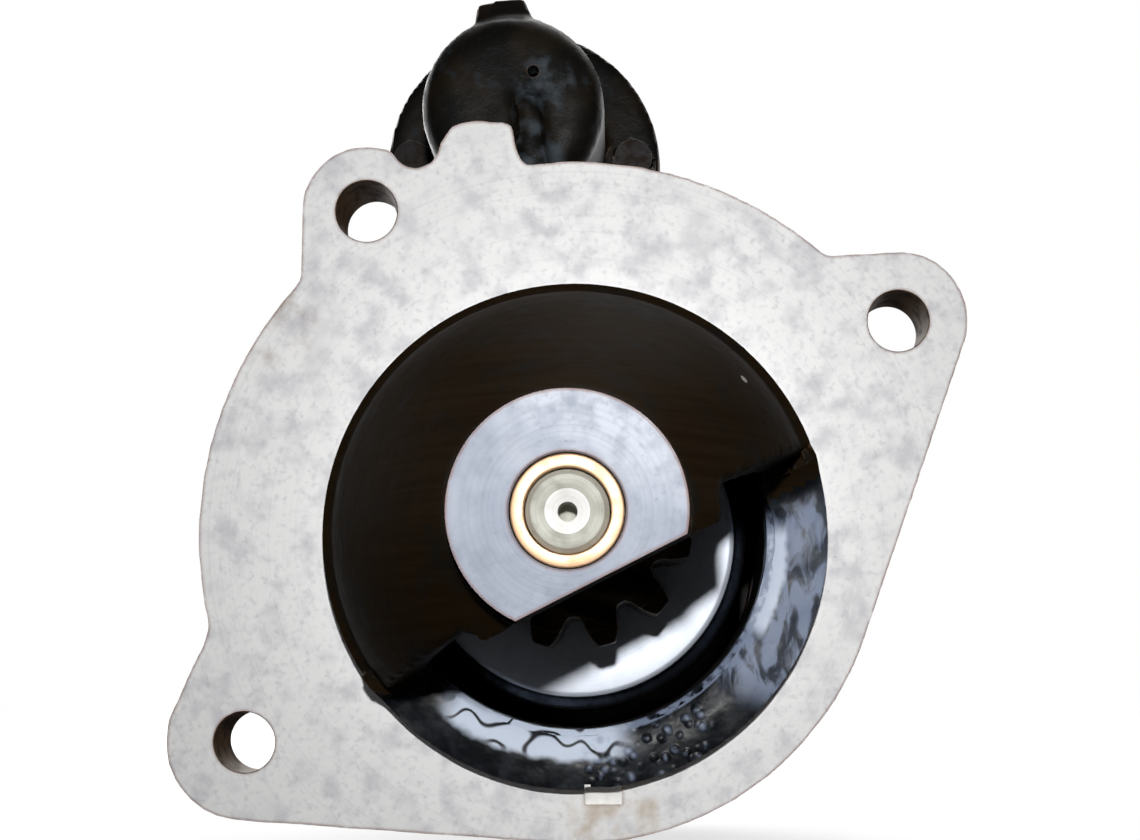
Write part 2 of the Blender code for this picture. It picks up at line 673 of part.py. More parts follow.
def make_commutator(finish):
    bars = 20
    mica = [(COMMUTATOR_RADIUS, 0.0), (COMMUTATOR_RADIUS, 0.88)]
    mica += [(COMMUTATOR_RADIUS - 0.8, 0.88), (COMMUTATOR_RADIUS - 0.8, 1.0)]
    outline = toothed_outline(bars, mica)
    commutator = prism("commutator", outline, (COMMUTATOR_Y[0] + 3.0, COMMUTATOR_Y[1]), finish)
    riser = lathe("riser", [(COMMUTATOR_Y[0], 0), (COMMUTATOR_Y[0], 22.5),
                            (COMMUTATOR_Y[0] + 3.8, 22.5), (COMMUTATOR_Y[0] + 3.8, 0)])
    join(commutator, riser)
    bore = lathe("bore", [(150, 0), (150, 10.0), (200, 10.0), (200, 0)], steps=24)
    return cut(commutator, bore)


# ---- drive --------------------------------------------------------------------------------------
def make_pinion(finish):
    """Eleven teeth, with the shaft of the clutch's inner race behind them."""
    half_tip = 0.14
    flank = [(PINION_ROOT_RADIUS, 0.10), (PINION_PITCH_RADIUS - 1.3, 0.19)]
    flank += [(PINION_PITCH_RADIUS + 0.6, 0.27), (PINION_TIP_RADIUS, 0.5 - half_tip)]
    corners = flank + [(radius, 1.0 - share) for radius, share in reversed(flank)]
    pinion = prism("pinion", toothed_outline(PINION_TEETH, corners), PINION_Y, finish)
    race = lathe("race", [(-3, 0), (-3, 13.9), (22.6, 13.9), (22.6, 0)], steps=24)
    join(pinion, race)
    bore = lathe("bore", [(-20, 0), (-20, 6.75), (30, 6.75), (30, 0)], steps=24)
    lead = lathe("lead", [(PINION_Y[0] - 1, 30), (PINION_Y[0] - 1, PINION_TIP_RADIUS - 2.6),
                          (PINION_Y[0] + 2.4, PINION_TIP_RADIUS + 0.8), (PINION_Y[0] + 2.4, 30)])
    return cut(pinion, bore, lead)


def make_clutch(finish):
    """The clutch's outer shell with its splined sleeve, open at the front round the race."""
    sleeve_bore = 10.4
    sleeve = 13.0
    profile = [(0.4, 14.4), (0.4, CLUTCH_FACE_RADIUS - 0.6), (1.0, CLUTCH_FACE_RADIUS)]
    profile += [(3.2, CLUTCH_FACE_RADIUS), (4.6, CLUTCH_RADIUS), (23.5, CLUTCH_RADIUS)]
    profile += [(25.0, CLUTCH_RADIUS - 1.5), (25.0, 15.0), (26.5, sleeve), (53.8, sleeve)]
    profile += [(53.8, sleeve_bore)]
    profile += [(23.2, sleeve_bore), (23.2, 22.0), (3.2, 22.0), (3.2, 14.4)]
    clutch = lathe("clutch_housing", profile, finish, steps=28)
    corners = [(11.5, 0.82), (SPLINE_ROOT_RADIUS + 0.45, 0.84)]
    corners += [(SPLINE_ROOT_RADIUS + 0.45, 1.16), (11.5, 1.18)]
    keys = []
    for spline in range(SPLINES):
        key = []
        for radius, share in corners:
            turn = 2 * math.pi * (spline + share) / SPLINES
            key.append((radius * math.cos(turn), radius * math.sin(turn)))
        keys.append(prism("key", key, (40.0, 53.0)))
    return join(clutch, *keys)


def make_operating_ring(finish):
    """The grooved ring that the fork pushes. It slides with the drive and doesn't turn."""
    half_groove = 3.6
    half = 6.0
    mid = FORK_REST_Y
    inner = 13.4
    profile = [(mid - half, inner), (mid - half, 21.0), (mid - half_groove, 21.0)]
    profile += [(mid - half_groove, 17.2), (mid + half_groove, 17.2), (mid + half_groove, 21.0)]
    profile += [(mid + half, 21.0), (mid + half, inner)]
    return lathe("operating_ring", profile, finish, steps=24)


def make_lock_ring(finish):
    return make_bush("sleeve_lock_ring", (50.6, 53.2), (13.3, 17.0), finish)


def make_thrust_collar(finish):
    profile = [(-36.4, JOURNAL_RADIUS + GAP), (-36.4, 10.0), (-35.6, 10.6), (-31.2, 10.6)]
    profile += [(-31.2, JOURNAL_RADIUS + GAP)]
    return lathe("thrust_collar", profile, finish, steps=24)


# ---- lever --------------------------------------------------------------------------------------
def make_lever(finish):
    """Drawn standing straight on its pivot, then leaned back to where it rests."""
    half_blade = 2.5
    top = PLUNGER_ARM
    blade_outline = [(-4.6, top), (-3.3, top + 3.3), (0, top + 4.6), (3.3, top + 3.3), (4.6, top)]
    blade_outline += [(5.0, 12.0), (8.2, 5.0), (8.2, -5.0), (4.5, -16.0), (3.5, -24.5)]
    blade_outline += [(-3.5, -24.5), (-4.5, -16.0), (-8.2, -5.0), (-8.2, 5.0), (-5.0, 12.0)]
    lever = cross_prism("engaging_lever", blade_outline, (-half_blade, half_blade), finish)
    arch_centre = (0.0, -FORK_ARM)
    arch = arc(arch_centre, 28.0, 180, 0, 14) + [(28.0, -FORK_ARM - 4.5)]
    arch += [(22.6, -FORK_ARM - 4.5)] + arc(arch_centre, 22.6, 0, 180, 14)
    arch += [(-22.6, -FORK_ARM - 4.5), (-28.0, -FORK_ARM - 4.5)]
    join(lever, prism("arch", arch, (-3.5, 3.5)))
    pads = []
    for side in (-1, 1):
        pad = lathe("pad", [(0, 0), (0, 3.1), (6.4, 3.1), (6.4, 0)], steps=16)
        pads.append(turned_to(pad, (side, 0, 0), (side * 17.7, 0, -FORK_ARM)))
    join(lever, *pads)
    pivot = turned_to(lathe("pivot", [(-9, 0), (-9, PIVOT_PIN_RADIUS + GAP),
                                      (9, PIVOT_PIN_RADIUS + GAP), (9, 0)],
                            steps=SMALL_STEPS), (1, 0, 0), (0, 0, 0))
    half = CLEVIS_PIN_RADIUS + GAP
    eye_outline = arc((0, PLUNGER_ARM + 0.7), half, 0, 180, 8)
    eye_outline += arc((0, PLUNGER_ARM - 0.4), half, 180, 360, 8)
    eye = cross_prism("eye", eye_outline, (-9, 9))
    cut(lever, pivot, eye)
    rest = Matrix.Rotation(LEVER_SWING / 2, 4, "X")
    lever.data.transform(Matrix.Translation(Vector(PIVOT_LINE) * MM) @ rest)
    return lever


def make_clevis_pin(finish):
    pin = lathe("clevis_pin", [(-8.4, 0), (-8.4, CLEVIS_PIN_RADIUS), (8.4, CLEVIS_PIN_RADIUS),
                               (8.4, 0)], finish, steps=16)
    return turned_to(pin, (1, 0, 0), (0, CLEVIS_REST_Y, SOLENOID_HEIGHT))


def make_pivot_pin(finish):
    profile = [(-20.4, 0), (-20.4, 6.6), (-15.3, 6.6), (-15.3, PIVOT_PIN_RADIUS)]
    profile += [(22.5, PIVOT_PIN_RADIUS), (22.5, 0)]
    pin = lathe("pivot_pin", profile, finish, steps=SMALL_STEPS)
    cut(pin, block("slot", (-10, 10), (-24, -18.6), (-0.8, 0.8)))
    return turned_to(pin, (1, 0, 0), (0, PIVOT_Y, PIVOT_HEIGHT))


def make_nut(name, finish, radius, hole, y_range, centre=(0.0, 0.0)):
    nut = prism(name, hexagon(radius, centre), y_range, finish)
    clear = lathe("clear", [(y_range[0] - 1, 0), (y_range[0] - 1, hole), (y_range[1] + 1, hole),
                            (y_range[1] + 1, 0)], steps=SMALL_STEPS, centre=centre)
    return cut(nut, clear)


# ---- solenoid -----------------------------------------------------------------------------------
def make_solenoid_body(finish):
    """Pressed can with a thick front plate, open at the rear where the cap closes it."""
    centre = (0.0, SOLENOID_HEIGHT)
    front, rear = SOLENOID_Y
    hole = PLUNGER_RADIUS + 1.5
    profile = [(front, hole), (front, SOLENOID_PAD_RADIUS - 0.4)]
    profile += [(front + 5.0, SOLENOID_PAD_RADIUS - 0.4), (front + 5.6, SOLENOID_RADIUS)]
    profile += [(rear - 2.0, SOLENOID_RADIUS), (rear, SOLENOID_RADIUS - 1.2), (rear, 24.6)]
    profile += [(front + 6.0, 24.6), (front + 6.0, hole)]
    body = lathe("solenoid_body", profile, finish, centre=centre, steps=28)
    holes = []
    for x, z in SOLENOID_SCREWS:
        hole = lathe("hole", [(front - 5, 0), (front - 5, 3.1), (front + 4.5, 3.1),
                              (front + 4.5, 0)], steps=SMALL_STEPS, centre=(x, z))
        holes.append(hole)
    below = block("below", (-40, 40), (front - 1, front + 8), (40, YOKE_RADIUS + 0.6))
    return cut(body, below, *holes)


def make_solenoid_coil(finish):
    """Bobbin with the winding on it: two cheeks and a fuller middle."""
    centre = (0.0, SOLENOID_HEIGHT)
    front = SOLENOID_Y[0] + 6.4
    rear = 106.0
    profile = [(front, 10.2), (front, 24.2), (front + 1.5, 24.2), (front + 1.5, 23.0)]
    profile += [(rear - 1.5, 23.0), (rear - 1.5, 24.2), (rear, 24.2), (rear, 10.2)]
    return lathe("solenoid_coil", profile, finish, centre=centre, steps=24)


def make_solenoid_core(finish):
    """Fixed core that the plunger is pulled against, with its end plate."""
    centre = (0.0, SOLENOID_HEIGHT)
    spindle_hole = 3.4
    profile = [(CORE_FACE_Y, spindle_hole), (CORE_FACE_Y, 9.6), (106.4, 9.6), (106.4, 24.2)]
    profile += [(112.0, 24.2), (112.0, spindle_hole)]
    return lathe("solenoid_core", profile, finish, centre=centre, steps=24)


def make_plunger(finish):
    centre = (0.0, SOLENOID_HEIGHT)
    front = CLEVIS_REST_Y - 5.2
    collar_y = CLEVIS_REST_Y + 8.6
    profile = [(front, 0), (front, 8.6), (front + 1, PLUNGER_RADIUS)]
    profile += [(collar_y, PLUNGER_RADIUS), (collar_y, 12.0), (collar_y + 1.4, 12.0)]
    profile += [(collar_y + 1.4, PLUNGER_RADIUS), (PLUNGER_REAR_Y - 1, PLUNGER_RADIUS)]
    profile += [(PLUNGER_REAR_Y, 8.6), (PLUNGER_REAR_Y, 0)]
    plunger = lathe("plunger", profile, finish, centre=centre, steps=24)
    slot = block("slot", (-3.2, 3.2), (front - 1, CLEVIS_REST_Y + 7.4),
                 (SOLENOID_HEIGHT - 20, SOLENOID_HEIGHT + 20))
    eye = turned_to(lathe("eye", [(-15, 0), (-15, CLEVIS_PIN_RADIUS + 0.75),
                                  (15, CLEVIS_PIN_RADIUS + 0.75), (15, 0)], steps=14),
                    (1, 0, 0), (0, CLEVIS_REST_Y, SOLENOID_HEIGHT))
    return cut(plunger, eye, slot)


def make_return_spring(finish):
    start = CLEVIS_REST_Y + 10.3
    points, faces = coil_points(11.0, 0.7, (start, SOLENOID_Y[0] - 0.3), 4,
                                (0.0, SOLENOID_HEIGHT))
    return new_object("return_spring", points, faces, finish)


def make_contact(finish):
    """Moving contact: a copper disc on the spindle that the plunger pushes."""
    centre = (0.0, SOLENOID_HEIGHT)
    tip_y = PLUNGER_REAR_Y + PLUNGER_TRAVEL - CONTACT_TRAVEL + 0.2
    disc_y = FIXED_CONTACT_Y - CONTACT_TRAVEL - 0.2
    profile = [(tip_y, 0), (tip_y, 2.7), (disc_y - 2.4, 2.7), (disc_y - 2.4, 15.5)]
    profile += [(disc_y, 15.5), (disc_y, 2.2), (122.5, 2.2), (122.5, 0)]
    return lathe("moving_contact", profile, finish, centre=centre, steps=28)


def terminal_centre(side):
    return (0.0, SOLENOID_HEIGHT + side * TERMINAL_OFFSET)


def make_solenoid_cap(finish):
    """Moulded cover with a hollow for the contacts and a raised collar for each terminal."""
    centre = (0.0, SOLENOID_HEIGHT)
    front, rear = CAP_Y
    inside_y = front + 11.6
    profile = [(inside_y, 0), (inside_y, 20.0), (front - 2.6, 22.0), (front - 2.6, 24.2)]
    profile += [(front + GAP, 24.2), (front + GAP, 25.6), (front + 1.5, 25.6)]
    profile += [(rear - 4.5, 23.6), (rear - 1.5, 21.0), (rear - 1.5, 0)]
    cap = lathe("solenoid_cap", profile, finish, centre=centre, steps=28)
    collars = []
    holes = []
    for side in (-1, 1):
        spot = terminal_centre(side)
        collars.append(lathe("collar", [(rear - 4, 0), (rear - 4, 8.2), (rear, 7.8), (rear, 0)],
                             centre=spot, steps=24))
        holes.append(lathe("hole", [(120, 0), (120, TERMINAL_RADIUS + GAP),
                                    (rear + 2, TERMINAL_RADIUS + GAP), (rear + 2, 0)],
                           centre=spot, steps=SMALL_STEPS))
    join(cap, *collars)
    blade_x = 15.0
    holes.append(block("slit", (blade_x - 0.7, blade_x + 0.7), (126, rear + 2),
                       (SOLENOID_HEIGHT - 3.5, SOLENOID_HEIGHT + 3.5)))
    return cut(cap, *holes)


def make_terminal_stud(name, side, finish):
    """Threaded stud whose inner head is one of the two fixed contacts."""
    tip_y = 150.4
    profile = [(FIXED_CONTACT_Y, 0), (FIXED_CONTACT_Y, 6.8), (FIXED_CONTACT_Y + 3, 6.8)]
    profile += [(FIXED_CONTACT_Y + 3, TERMINAL_RADIUS)]
    profile += [(tip_y - 0.8, TERMINAL_RADIUS), (tip_y, TERMINAL_RADIUS - 0.8), (tip_y, 0)]
    return lathe(name, profile, finish, steps=SMALL_STEPS, centre=terminal_centre(side))


def make_switch_blade(finish):
    outline = [(128.4, -3.15), (144.0, -3.15), (146.4, -1.6), (146.4, 1.6), (144.0, 3.15),
               (128.4, 3.15)]
    outline = [(y, z + SOLENOID_HEIGHT) for y, z in outline]
    blade = cross_prism("switch_blade", outline, (14.6, 15.4), finish)
    hole = turned_to(lathe("hole", [(0, 0), (0, 0.9), (10, 0.9), (10, 0)], steps=10),
                     (1, 0, 0), (10, 141.5, SOLENOID_HEIGHT))
    return cut(blade, hole)


def make_solenoid_screw(name, spot, finish):
    pad_front = SOLENOID_PAD_Y[0] - GAP
    tip = SOLENOID_Y[0] + 4.0
    profile = [(pad_front - 1.2, 0), (pad_front - 1.2, 4.75), (pad_front, 4.75)]
    profile += [(pad_front, 2.75), (tip, 2.75), (tip, 0)]
    screw = lathe(name, profile, finish, steps=SMALL_STEPS, centre=spot)
    head = prism("head", hexagon(4.5, spot), (pad_front - 4.6, pad_front - 0.8))
    return join(screw, head)


# ---- brush gear ---------------------------------------------------------------------------------
def make_brush_plate(finish):
    """Plate with four brush boxes and the posts that the brush springs turn on."""
    plate = lathe("brush_plate", [(PLATE_Y[0], 24.0), (PLATE_Y[0], 43.5), (PLATE_Y[1], 43.5),
                                  (PLATE_Y[1], 24.0)], finish)
    wall = 1.5
    clearance = 0.3
    half = BRUSH_HALF_WIDTH + clearance
    boxes = []
    channels = []
    posts = []
    for angle in POLE_ANGLES:
        box = block("box", (23.4, 40.0), (BRUSH_Y[0] - clearance - wall, PLATE_Y[0] + 0.6),
                    (-half - wall, half + wall))
        boxes.append(turned_about_shaft(box, angle))
        channel = block("channel", (15.0, 50.0), (BRUSH_Y[0] - clearance, BRUSH_Y[1] + clearance),
                        (-half, half))
        channels.append(turned_about_shaft(channel, angle))
        post = lathe("post", [(175.5, 0), (175.5, 2.6), (PLATE_Y[0] + 0.6, 2.6),
                              (PLATE_Y[0] + 0.6, 0)], steps=12, centre=SPRING_POST)
        posts.append(turned_about_shaft(post, angle))
    join(plate, *boxes, *posts)
    return cut(plate, *channels)


def make_brush(name, angle, finish):
    brush = block(name, (17.0, BRUSH_OUTER_RADIUS), BRUSH_Y,
                  (-BRUSH_HALF_WIDTH, BRUSH_HALF_WIDTH), finish)
    seat = lathe("seat", [(160, 0), (160, COMMUTATOR_RADIUS + 0.4),
                          (200, COMMUTATOR_RADIUS + 0.4), (200, 0)])
    return turned_about_shaft(cut(brush, seat), angle)


def make_brush_spring(name, angle, finish):
    """Coiled strip on its post, with an arm that comes down on the middle of the brush."""
    post_r, post_t = SPRING_POST
    coil = lathe(name, [(177.5, 3.2), (177.5, 5.0), (183.5, 5.0), (183.5, 3.2)], finish,
                 steps=20, centre=SPRING_POST)
    upper = [(post_r + 3.6, post_t), (post_r + 10.6, 9.4), (post_r + 10.2, 1.4)]
    upper += [(post_r + 5.0, -1.0)]
    lower = [(post_r + 4.2, -0.2), (post_r + 9.2, 2.2), (post_r + 9.4, 8.8)]
    lower += [(post_r + 2.8, post_t - 2.4)]
    arm = prism("arm", upper + lower, (178.0, 183.0))
    return turned_about_shaft(join(coil, arm), angle)


# ---- field terminal, link and band --------------------------------------------------------------
def make_field_terminal(finish):
    profile = [(43.6, 0), (43.6, 7.0), (47.0, 7.0), (47.0, 3.8), (75.2, 3.8), (76.0, 3.0), (76.0, 0)]
    return radial_piece("field_terminal_stud", profile, 90, FIELD_TERMINAL_Y, finish)


def make_terminal_bush(finish):
    profile = [(47.4, 4.1), (47.4, 5.6), (57.3, 5.6), (57.3, 8.5), (61.2, 8.0), (61.2, 4.1)]
    return radial_piece("field_terminal_bush", profile, 90, FIELD_TERMINAL_Y, finish, steps=24)


def make_field_nut(finish):
    nut = make_nut("field_terminal_nut", finish, 7.2, 4.1, (64.1, 69.6))
    return turned_to(nut, (0, 0, 1), (0, FIELD_TERMINAL_Y, 0))


def make_terminal_link(finish):
    """Bent copper strap from the solenoid's motor terminal down to the field terminal."""
    low = 61.6
    thick = 2.0
    rear_y = FIELD_TERMINAL_Y + 7.5
    face_y = CAP_Y[1] + GAP
    foot_z = terminal_centre(-1)[1]
    outline = [(face_y, low), (rear_y, low), (rear_y, low + thick), (face_y + thick + 1.0, low + thick),
               (face_y + thick, low + thick + 1.0), (face_y + thick, foot_z + 7.0),
               (face_y, foot_z + 7.0)]
    link = cross_prism("terminal_link", outline, (-6.5, 6.5), finish)
    upper = lathe("hole", [(130, 0), (130, TERMINAL_RADIUS + GAP), (145, TERMINAL_RADIUS + GAP),
                           (145, 0)], steps=SMALL_STEPS, centre=terminal_centre(-1))
    lower = radial_piece("hole", [(50, 0), (50, 4.1), (70, 4.1), (70, 0)], 90, FIELD_TERMINAL_Y)
    return cut(link, upper, lower)


def make_band(finish):
    """Split steel band over the brush windows, drawn together by a screw underneath."""
    band = lathe("cover_band", [(BAND_Y[0], BAND_RADIUS), (BAND_Y[0], BAND_RADIUS + 1.0),
                                (BAND_Y[1], BAND_RADIUS + 1.0), (BAND_Y[1], BAND_RADIUS)], finish)
    ears = []
    for side in (-1, 1):
        x_range = sorted((side * 3.0, side * 4.6))
        ears.append(block("ear", x_range, (176.0, 189.0), (-69.0, -57.7)))
    join(band, *ears)
    cut(band, block("split", (-2.9, 2.9), (160, 200), (-75, -50)))
    hole = turned_to(lathe("hole", [(-10, 0), (-10, 2.8), (10, 2.8), (10, 0)], steps=16),
                     (1, 0, 0), (0, 182.5, -64.0))
    return cut(band, hole)


def make_band_screw(finish):
    profile = [(-8.8, 0), (-8.8, 4.4), (-5.0, 4.4), (-5.0, 2.4), (9.6, 2.4), (9.6, 0)]
    screw = lathe("cover_band_screw", profile, finish, steps=SMALL_STEPS)
    cut(screw, block("slot", (-6, 6), (-10, -7.4), (-0.6, 0.6)))
    return turned_to(screw, (1, 0, 0), (0, 182.5, -64.0))


# ---- assembly -----------------------------------------------------------------------------------
def clear_scene():
    for old in list(bpy.data.objects):
        bpy.data.objects.remove(old)


def smooth_round_faces():
    for piece in bpy.data.objects:
        if piece.type == "MESH":
            piece.data.shade_smooth()
            piece.data.set_sharp_from_angle(angle=math.radians(35))


def build():
    clear_scene()
    look = make_materials()
    bracket = make_drive_end_bracket(look["black_paint"])
    bracket.location = (0, -END_BOSS_Y * MM, 0)

    lean_frame = bpy.data.objects.new("lean_frame", None)
    lean_frame.rotation_euler = (0, LEAN, 0)
    lean_frame.location = (0, -END_BOSS_Y * MM, 0)
    bpy.context.scene.collection.objects.link(lean_frame)

    nose_bush = (NOSE_TIP_Y + 0.3, NOSE_WALL_Y - 0.2)
    on_shaft_line = [
        make_bush("nose_bush", nose_bush, (BUSH_BORE_RADIUS, BUSH_RADIUS), look["bronze"]),
        make_intermediate_bracket(look["black_paint"]),
        make_bush("intermediate_bush", (57.2, 69.6), (9.25, 11.7), look["bronze"]),
        make_yoke(look["black_paint"]),
        make_field_coil_set(look["insulation"]),
        make_end_bracket(look["black_paint"]),
        make_bush("commutator_end_bush", (197.2, 217.6), (BUSH_BORE_RADIUS, 9.0), look["bronze"]),
        make_through_bolt("through_bolt_1", -1, look["zinc"]),
        make_through_bolt("through_bolt_2", 1, look["zinc"]),
        make_brush_plate(look["steel"]),
        make_field_terminal(look["brass"]),
        make_terminal_bush(look["moulding"]),
        make_field_nut(look["brass"]),
        make_terminal_link(look["copper"]),
        make_band(look["black_paint"]),
        make_band_screw(look["zinc"]),
        make_shaft(look["steel"]),
        make_core(look["dark_steel"]),
        make_windings(look["copper"]),
        make_commutator(look["copper"]),
        make_thrust_collar(look["steel"]),
        make_pinion(look["dark_steel"]),
        make_clutch(look["zinc"]),
        make_operating_ring(look["steel"]),
        make_lock_ring(look["steel"]),
    ]
    for number, angle in enumerate(POLE_ANGLES, start=1):
        on_shaft_line.append(make_pole_shoe(f"pole_shoe_{number}", angle, look["steel"]))
        on_shaft_line.append(make_pole_screw(f"pole_screw_{number}", angle, look["steel"]))
        on_shaft_line.append(make_brush(f"brush_{number}", angle, look["carbon"]))
    for piece in on_shaft_line:
        place(piece, SHAFT_LINE, lean_frame)

    for number, angle in enumerate(POLE_ANGLES, start=1):
        spring = make_brush_spring(f"brush_spring_{number}", angle, look["steel"])
        turn = math.radians(angle)
        post_r, post_t = SPRING_POST
        x = post_r * math.cos(turn) - post_t * math.sin(turn)
        z = post_r * math.sin(turn) + post_t * math.cos(turn)
        place(spring, (x, BRUSH_Y[0], z), lean_frame)

    on_solenoid_line = [
        make_solenoid_body(look["black_paint"]),
        make_solenoid_coil(look["insulation"]),
        make_solenoid_core(look["steel"]),
        make_plunger(look["steel"]),
        make_return_spring(look["steel"]),
        make_contact(look["copper"]),
        make_solenoid_cap(look["moulding"]),
        make_terminal_stud("battery_terminal_stud", 1, look["copper"]),
        make_terminal_stud("motor_terminal_stud", -1, look["copper"]),
        make_nut("battery_terminal_nut", look["brass"], NUT_RADIUS, TERMINAL_RADIUS + GAP,
                 (CAP_Y[1] + 0.4, CAP_Y[1] + 6.4), terminal_centre(1)),
        make_nut("motor_terminal_nut", look["brass"], NUT_RADIUS, TERMINAL_RADIUS + GAP,
                 (CAP_Y[1] + 2.6, CAP_Y[1] + 8.6), terminal_centre(-1)),
        make_switch_blade(look["brass"]),
        make_solenoid_screw("solenoid_screw_1", SOLENOID_SCREWS[0], look["zinc"]),
        make_solenoid_screw("solenoid_screw_2", SOLENOID_SCREWS[1], look["zinc"]),
    ]
    for piece in on_solenoid_line:
        place(piece, SOLENOID_LINE, lean_frame)

    pivot_nut = make_nut("pivot_nut", look["zinc"], 6.4, PIVOT_PIN_RADIUS + GAP, (15.4, 20.4))
    turned_to(pivot_nut, (1, 0, 0), (0, PIVOT_Y, PIVOT_HEIGHT))
    for piece in (make_lever(look["dark_steel"]), make_clevis_pin(look["steel"]),
                  make_pivot_pin(look["zinc"]), pivot_nut):
        place(piece, PIVOT_LINE, lean_frame)
    smooth_round_faces()


build()
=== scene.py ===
"""The looks of a pre-engaged starter motor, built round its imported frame.

Pieces are drawn in millimetres in the motor's upright frame: the shaft runs along Y, y is measured
from the face of the mounting flange, and the solenoid stands straight above the shaft. TO_FRAME
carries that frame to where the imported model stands. The drive end bracket's own turned shape and
its flange don't lean, so they use TO_FRAME_SQUARE.
"""

import json
import math

import bmesh
import bpy
import numpy as np
from mathutils import Matrix, Vector, noise


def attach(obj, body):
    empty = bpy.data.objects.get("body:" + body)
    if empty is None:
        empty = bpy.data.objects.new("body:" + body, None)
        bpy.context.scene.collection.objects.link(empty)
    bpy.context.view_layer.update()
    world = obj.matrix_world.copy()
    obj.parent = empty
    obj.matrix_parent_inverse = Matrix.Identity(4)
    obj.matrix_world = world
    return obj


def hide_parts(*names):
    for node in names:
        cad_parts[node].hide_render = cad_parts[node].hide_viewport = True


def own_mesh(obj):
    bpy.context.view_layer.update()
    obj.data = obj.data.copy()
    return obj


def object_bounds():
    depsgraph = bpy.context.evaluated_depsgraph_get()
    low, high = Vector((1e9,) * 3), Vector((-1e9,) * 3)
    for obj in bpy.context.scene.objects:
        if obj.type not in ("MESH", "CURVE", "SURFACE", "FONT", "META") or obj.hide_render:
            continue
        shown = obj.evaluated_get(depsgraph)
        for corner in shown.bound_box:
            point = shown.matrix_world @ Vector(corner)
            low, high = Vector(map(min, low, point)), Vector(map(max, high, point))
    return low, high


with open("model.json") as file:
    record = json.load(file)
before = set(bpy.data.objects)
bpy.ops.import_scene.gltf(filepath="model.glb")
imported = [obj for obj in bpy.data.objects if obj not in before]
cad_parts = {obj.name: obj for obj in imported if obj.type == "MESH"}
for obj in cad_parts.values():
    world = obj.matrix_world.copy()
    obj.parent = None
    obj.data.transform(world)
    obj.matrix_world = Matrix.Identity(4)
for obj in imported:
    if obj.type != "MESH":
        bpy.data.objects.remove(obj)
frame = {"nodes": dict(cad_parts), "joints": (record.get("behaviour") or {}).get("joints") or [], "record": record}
CAD_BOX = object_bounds()

MM = 0.001
TURNED_STEPS = 112
SMALL_STEPS = 32
CAST_VOXEL = 1.05
CAST_SMOOTHING = 3
SHARP_EDGE = math.radians(30.0)
SMOOTH_ANGLE = math.radians(32.0)
KEPT_EDGE = 0.25
KEPT_EDGE_ANGLE = math.radians(35.0)

# ---- what the frame says ------------------------------------------------------------------------
JOINTS = {joint["name"]: joint for joint in frame["joints"]}
MOUNTS = {mount["name"]: Vector(mount["pos_m"]) / MM for mount in frame["record"]["mounts"]}
BODY_OF = {}
for body_name, members in frame["record"]["behaviour"]["bodies"].items():
    BODY_OF.update(dict.fromkeys(members, body_name))
FLANGE_Y = MOUNTS["mounting_flange"].y
LEVER_AXIS = JOINTS["lever_swing"]["axis"]
LEAN = math.atan2(LEVER_AXIS[2], -LEVER_AXIS[0])
TO_FRAME_SQUARE = Matrix.Scale(MM, 4) @ Matrix.Translation((0, FLANGE_Y, 0))
TO_FRAME = TO_FRAME_SQUARE @ Matrix.Rotation(LEAN, 4, "Y")


def upright_points(node):
    """A CAD node's points at rest, in the upright frame."""
    mesh = frame["nodes"][node].data
    points = np.empty(len(mesh.vertices) * 3, np.float32)
    mesh.vertices.foreach_get("co", points)
    back = np.array(TO_FRAME.inverted())
    return points.reshape(-1, 3) @ back[:3, :3].T + back[:3, 3]


def span(node, axis=1):
    """Lowest and highest coordinate of a node along one axis of the upright frame."""
    values = upright_points(node)[:, axis]
    return round(float(values.min()), 2), round(float(values.max()), 2)


def middle(node, axis):
    return sum(span(node, axis)) / 2


def radii(node):
    """The nearest and farthest that a node's points are from the shaft's line."""
    points = upright_points(node)
    away = np.hypot(points[:, 0], points[:, 2])
    return round(float(away.min()), 2), round(float(away.max()), 2)


def centre_of(node):
    """The (x, z) middle of a node."""
    return middle(node, 0), middle(node, 2)


def direction_of(node):
    """The angle about the shaft, in degrees, at which a node stands."""
    centre = upright_points(node).mean(axis=0)
    return math.degrees(math.atan2(centre[2], centre[0]))


SOLENOID = (0.0, round(middle("solenoid_coil", 2), 2))
PIVOT = TO_FRAME.inverted() @ Vector(JOINTS["lever_swing"]["pos_m"])
POLES = [direction_of(f"pole_screw_{number}") for number in (1, 2, 3, 4)]
THROUGH_BOLTS = ("through_bolt_1", "through_bolt_2")
SOLENOID_SCREWS = ("solenoid_screw_1", "solenoid_screw_2")
NOSE_TIP_Y, BARREL_END_Y = span("drive_end_bracket")
SEAT_Y = MOUNTS["ear_seat_right"].y - FLANGE_Y

# ---- sizes of the drive end bracket -------------------------------------------------------------
SPIGOT_RADIUS = 44.45
SPIGOT_HEIGHT = 4.0
FLANGE_RADIUS = 67.3
FLANGE_SHORT_RADIUS = 54.4
FLANGE_BACK_Y = 12.0
EAR_RADII = {"right": 12.4, "upper_left": 11.5, "lower_left": 14.0}
SEAT_POINT_OUT = 7.5  # how far a seat's mount point is outside its hole's centre
SEAT_RADIUS = 11.5
HOLE_RADIUS = 5.45
BOSS_RADIUS = 18.2
BOSS_LENGTH = 4.0
NOSE_WALL_Y = -37.0
NOSE_RADIUS = 42.5
NOSE_NARROWS = 23.9
NOSE_BORE = 34.0
NOSE_BORE_NARROWS = 13.1
BARREL_RADIUS = 56.0
BARREL_BORE = 46.0
BARREL_BORE_Y = 31.0
WINDOW_ANGLE = math.radians(-63.0)
WINDOW_SKEW = math.radians(-3.0)
WINDOW_DEPTH = 7.0
WINDOW_FLOOR_Y = -3.2
WINDOW_FILLET = 5.0
FLOOR_CROWN = 41.5
BOSS_FLAT = 11.2
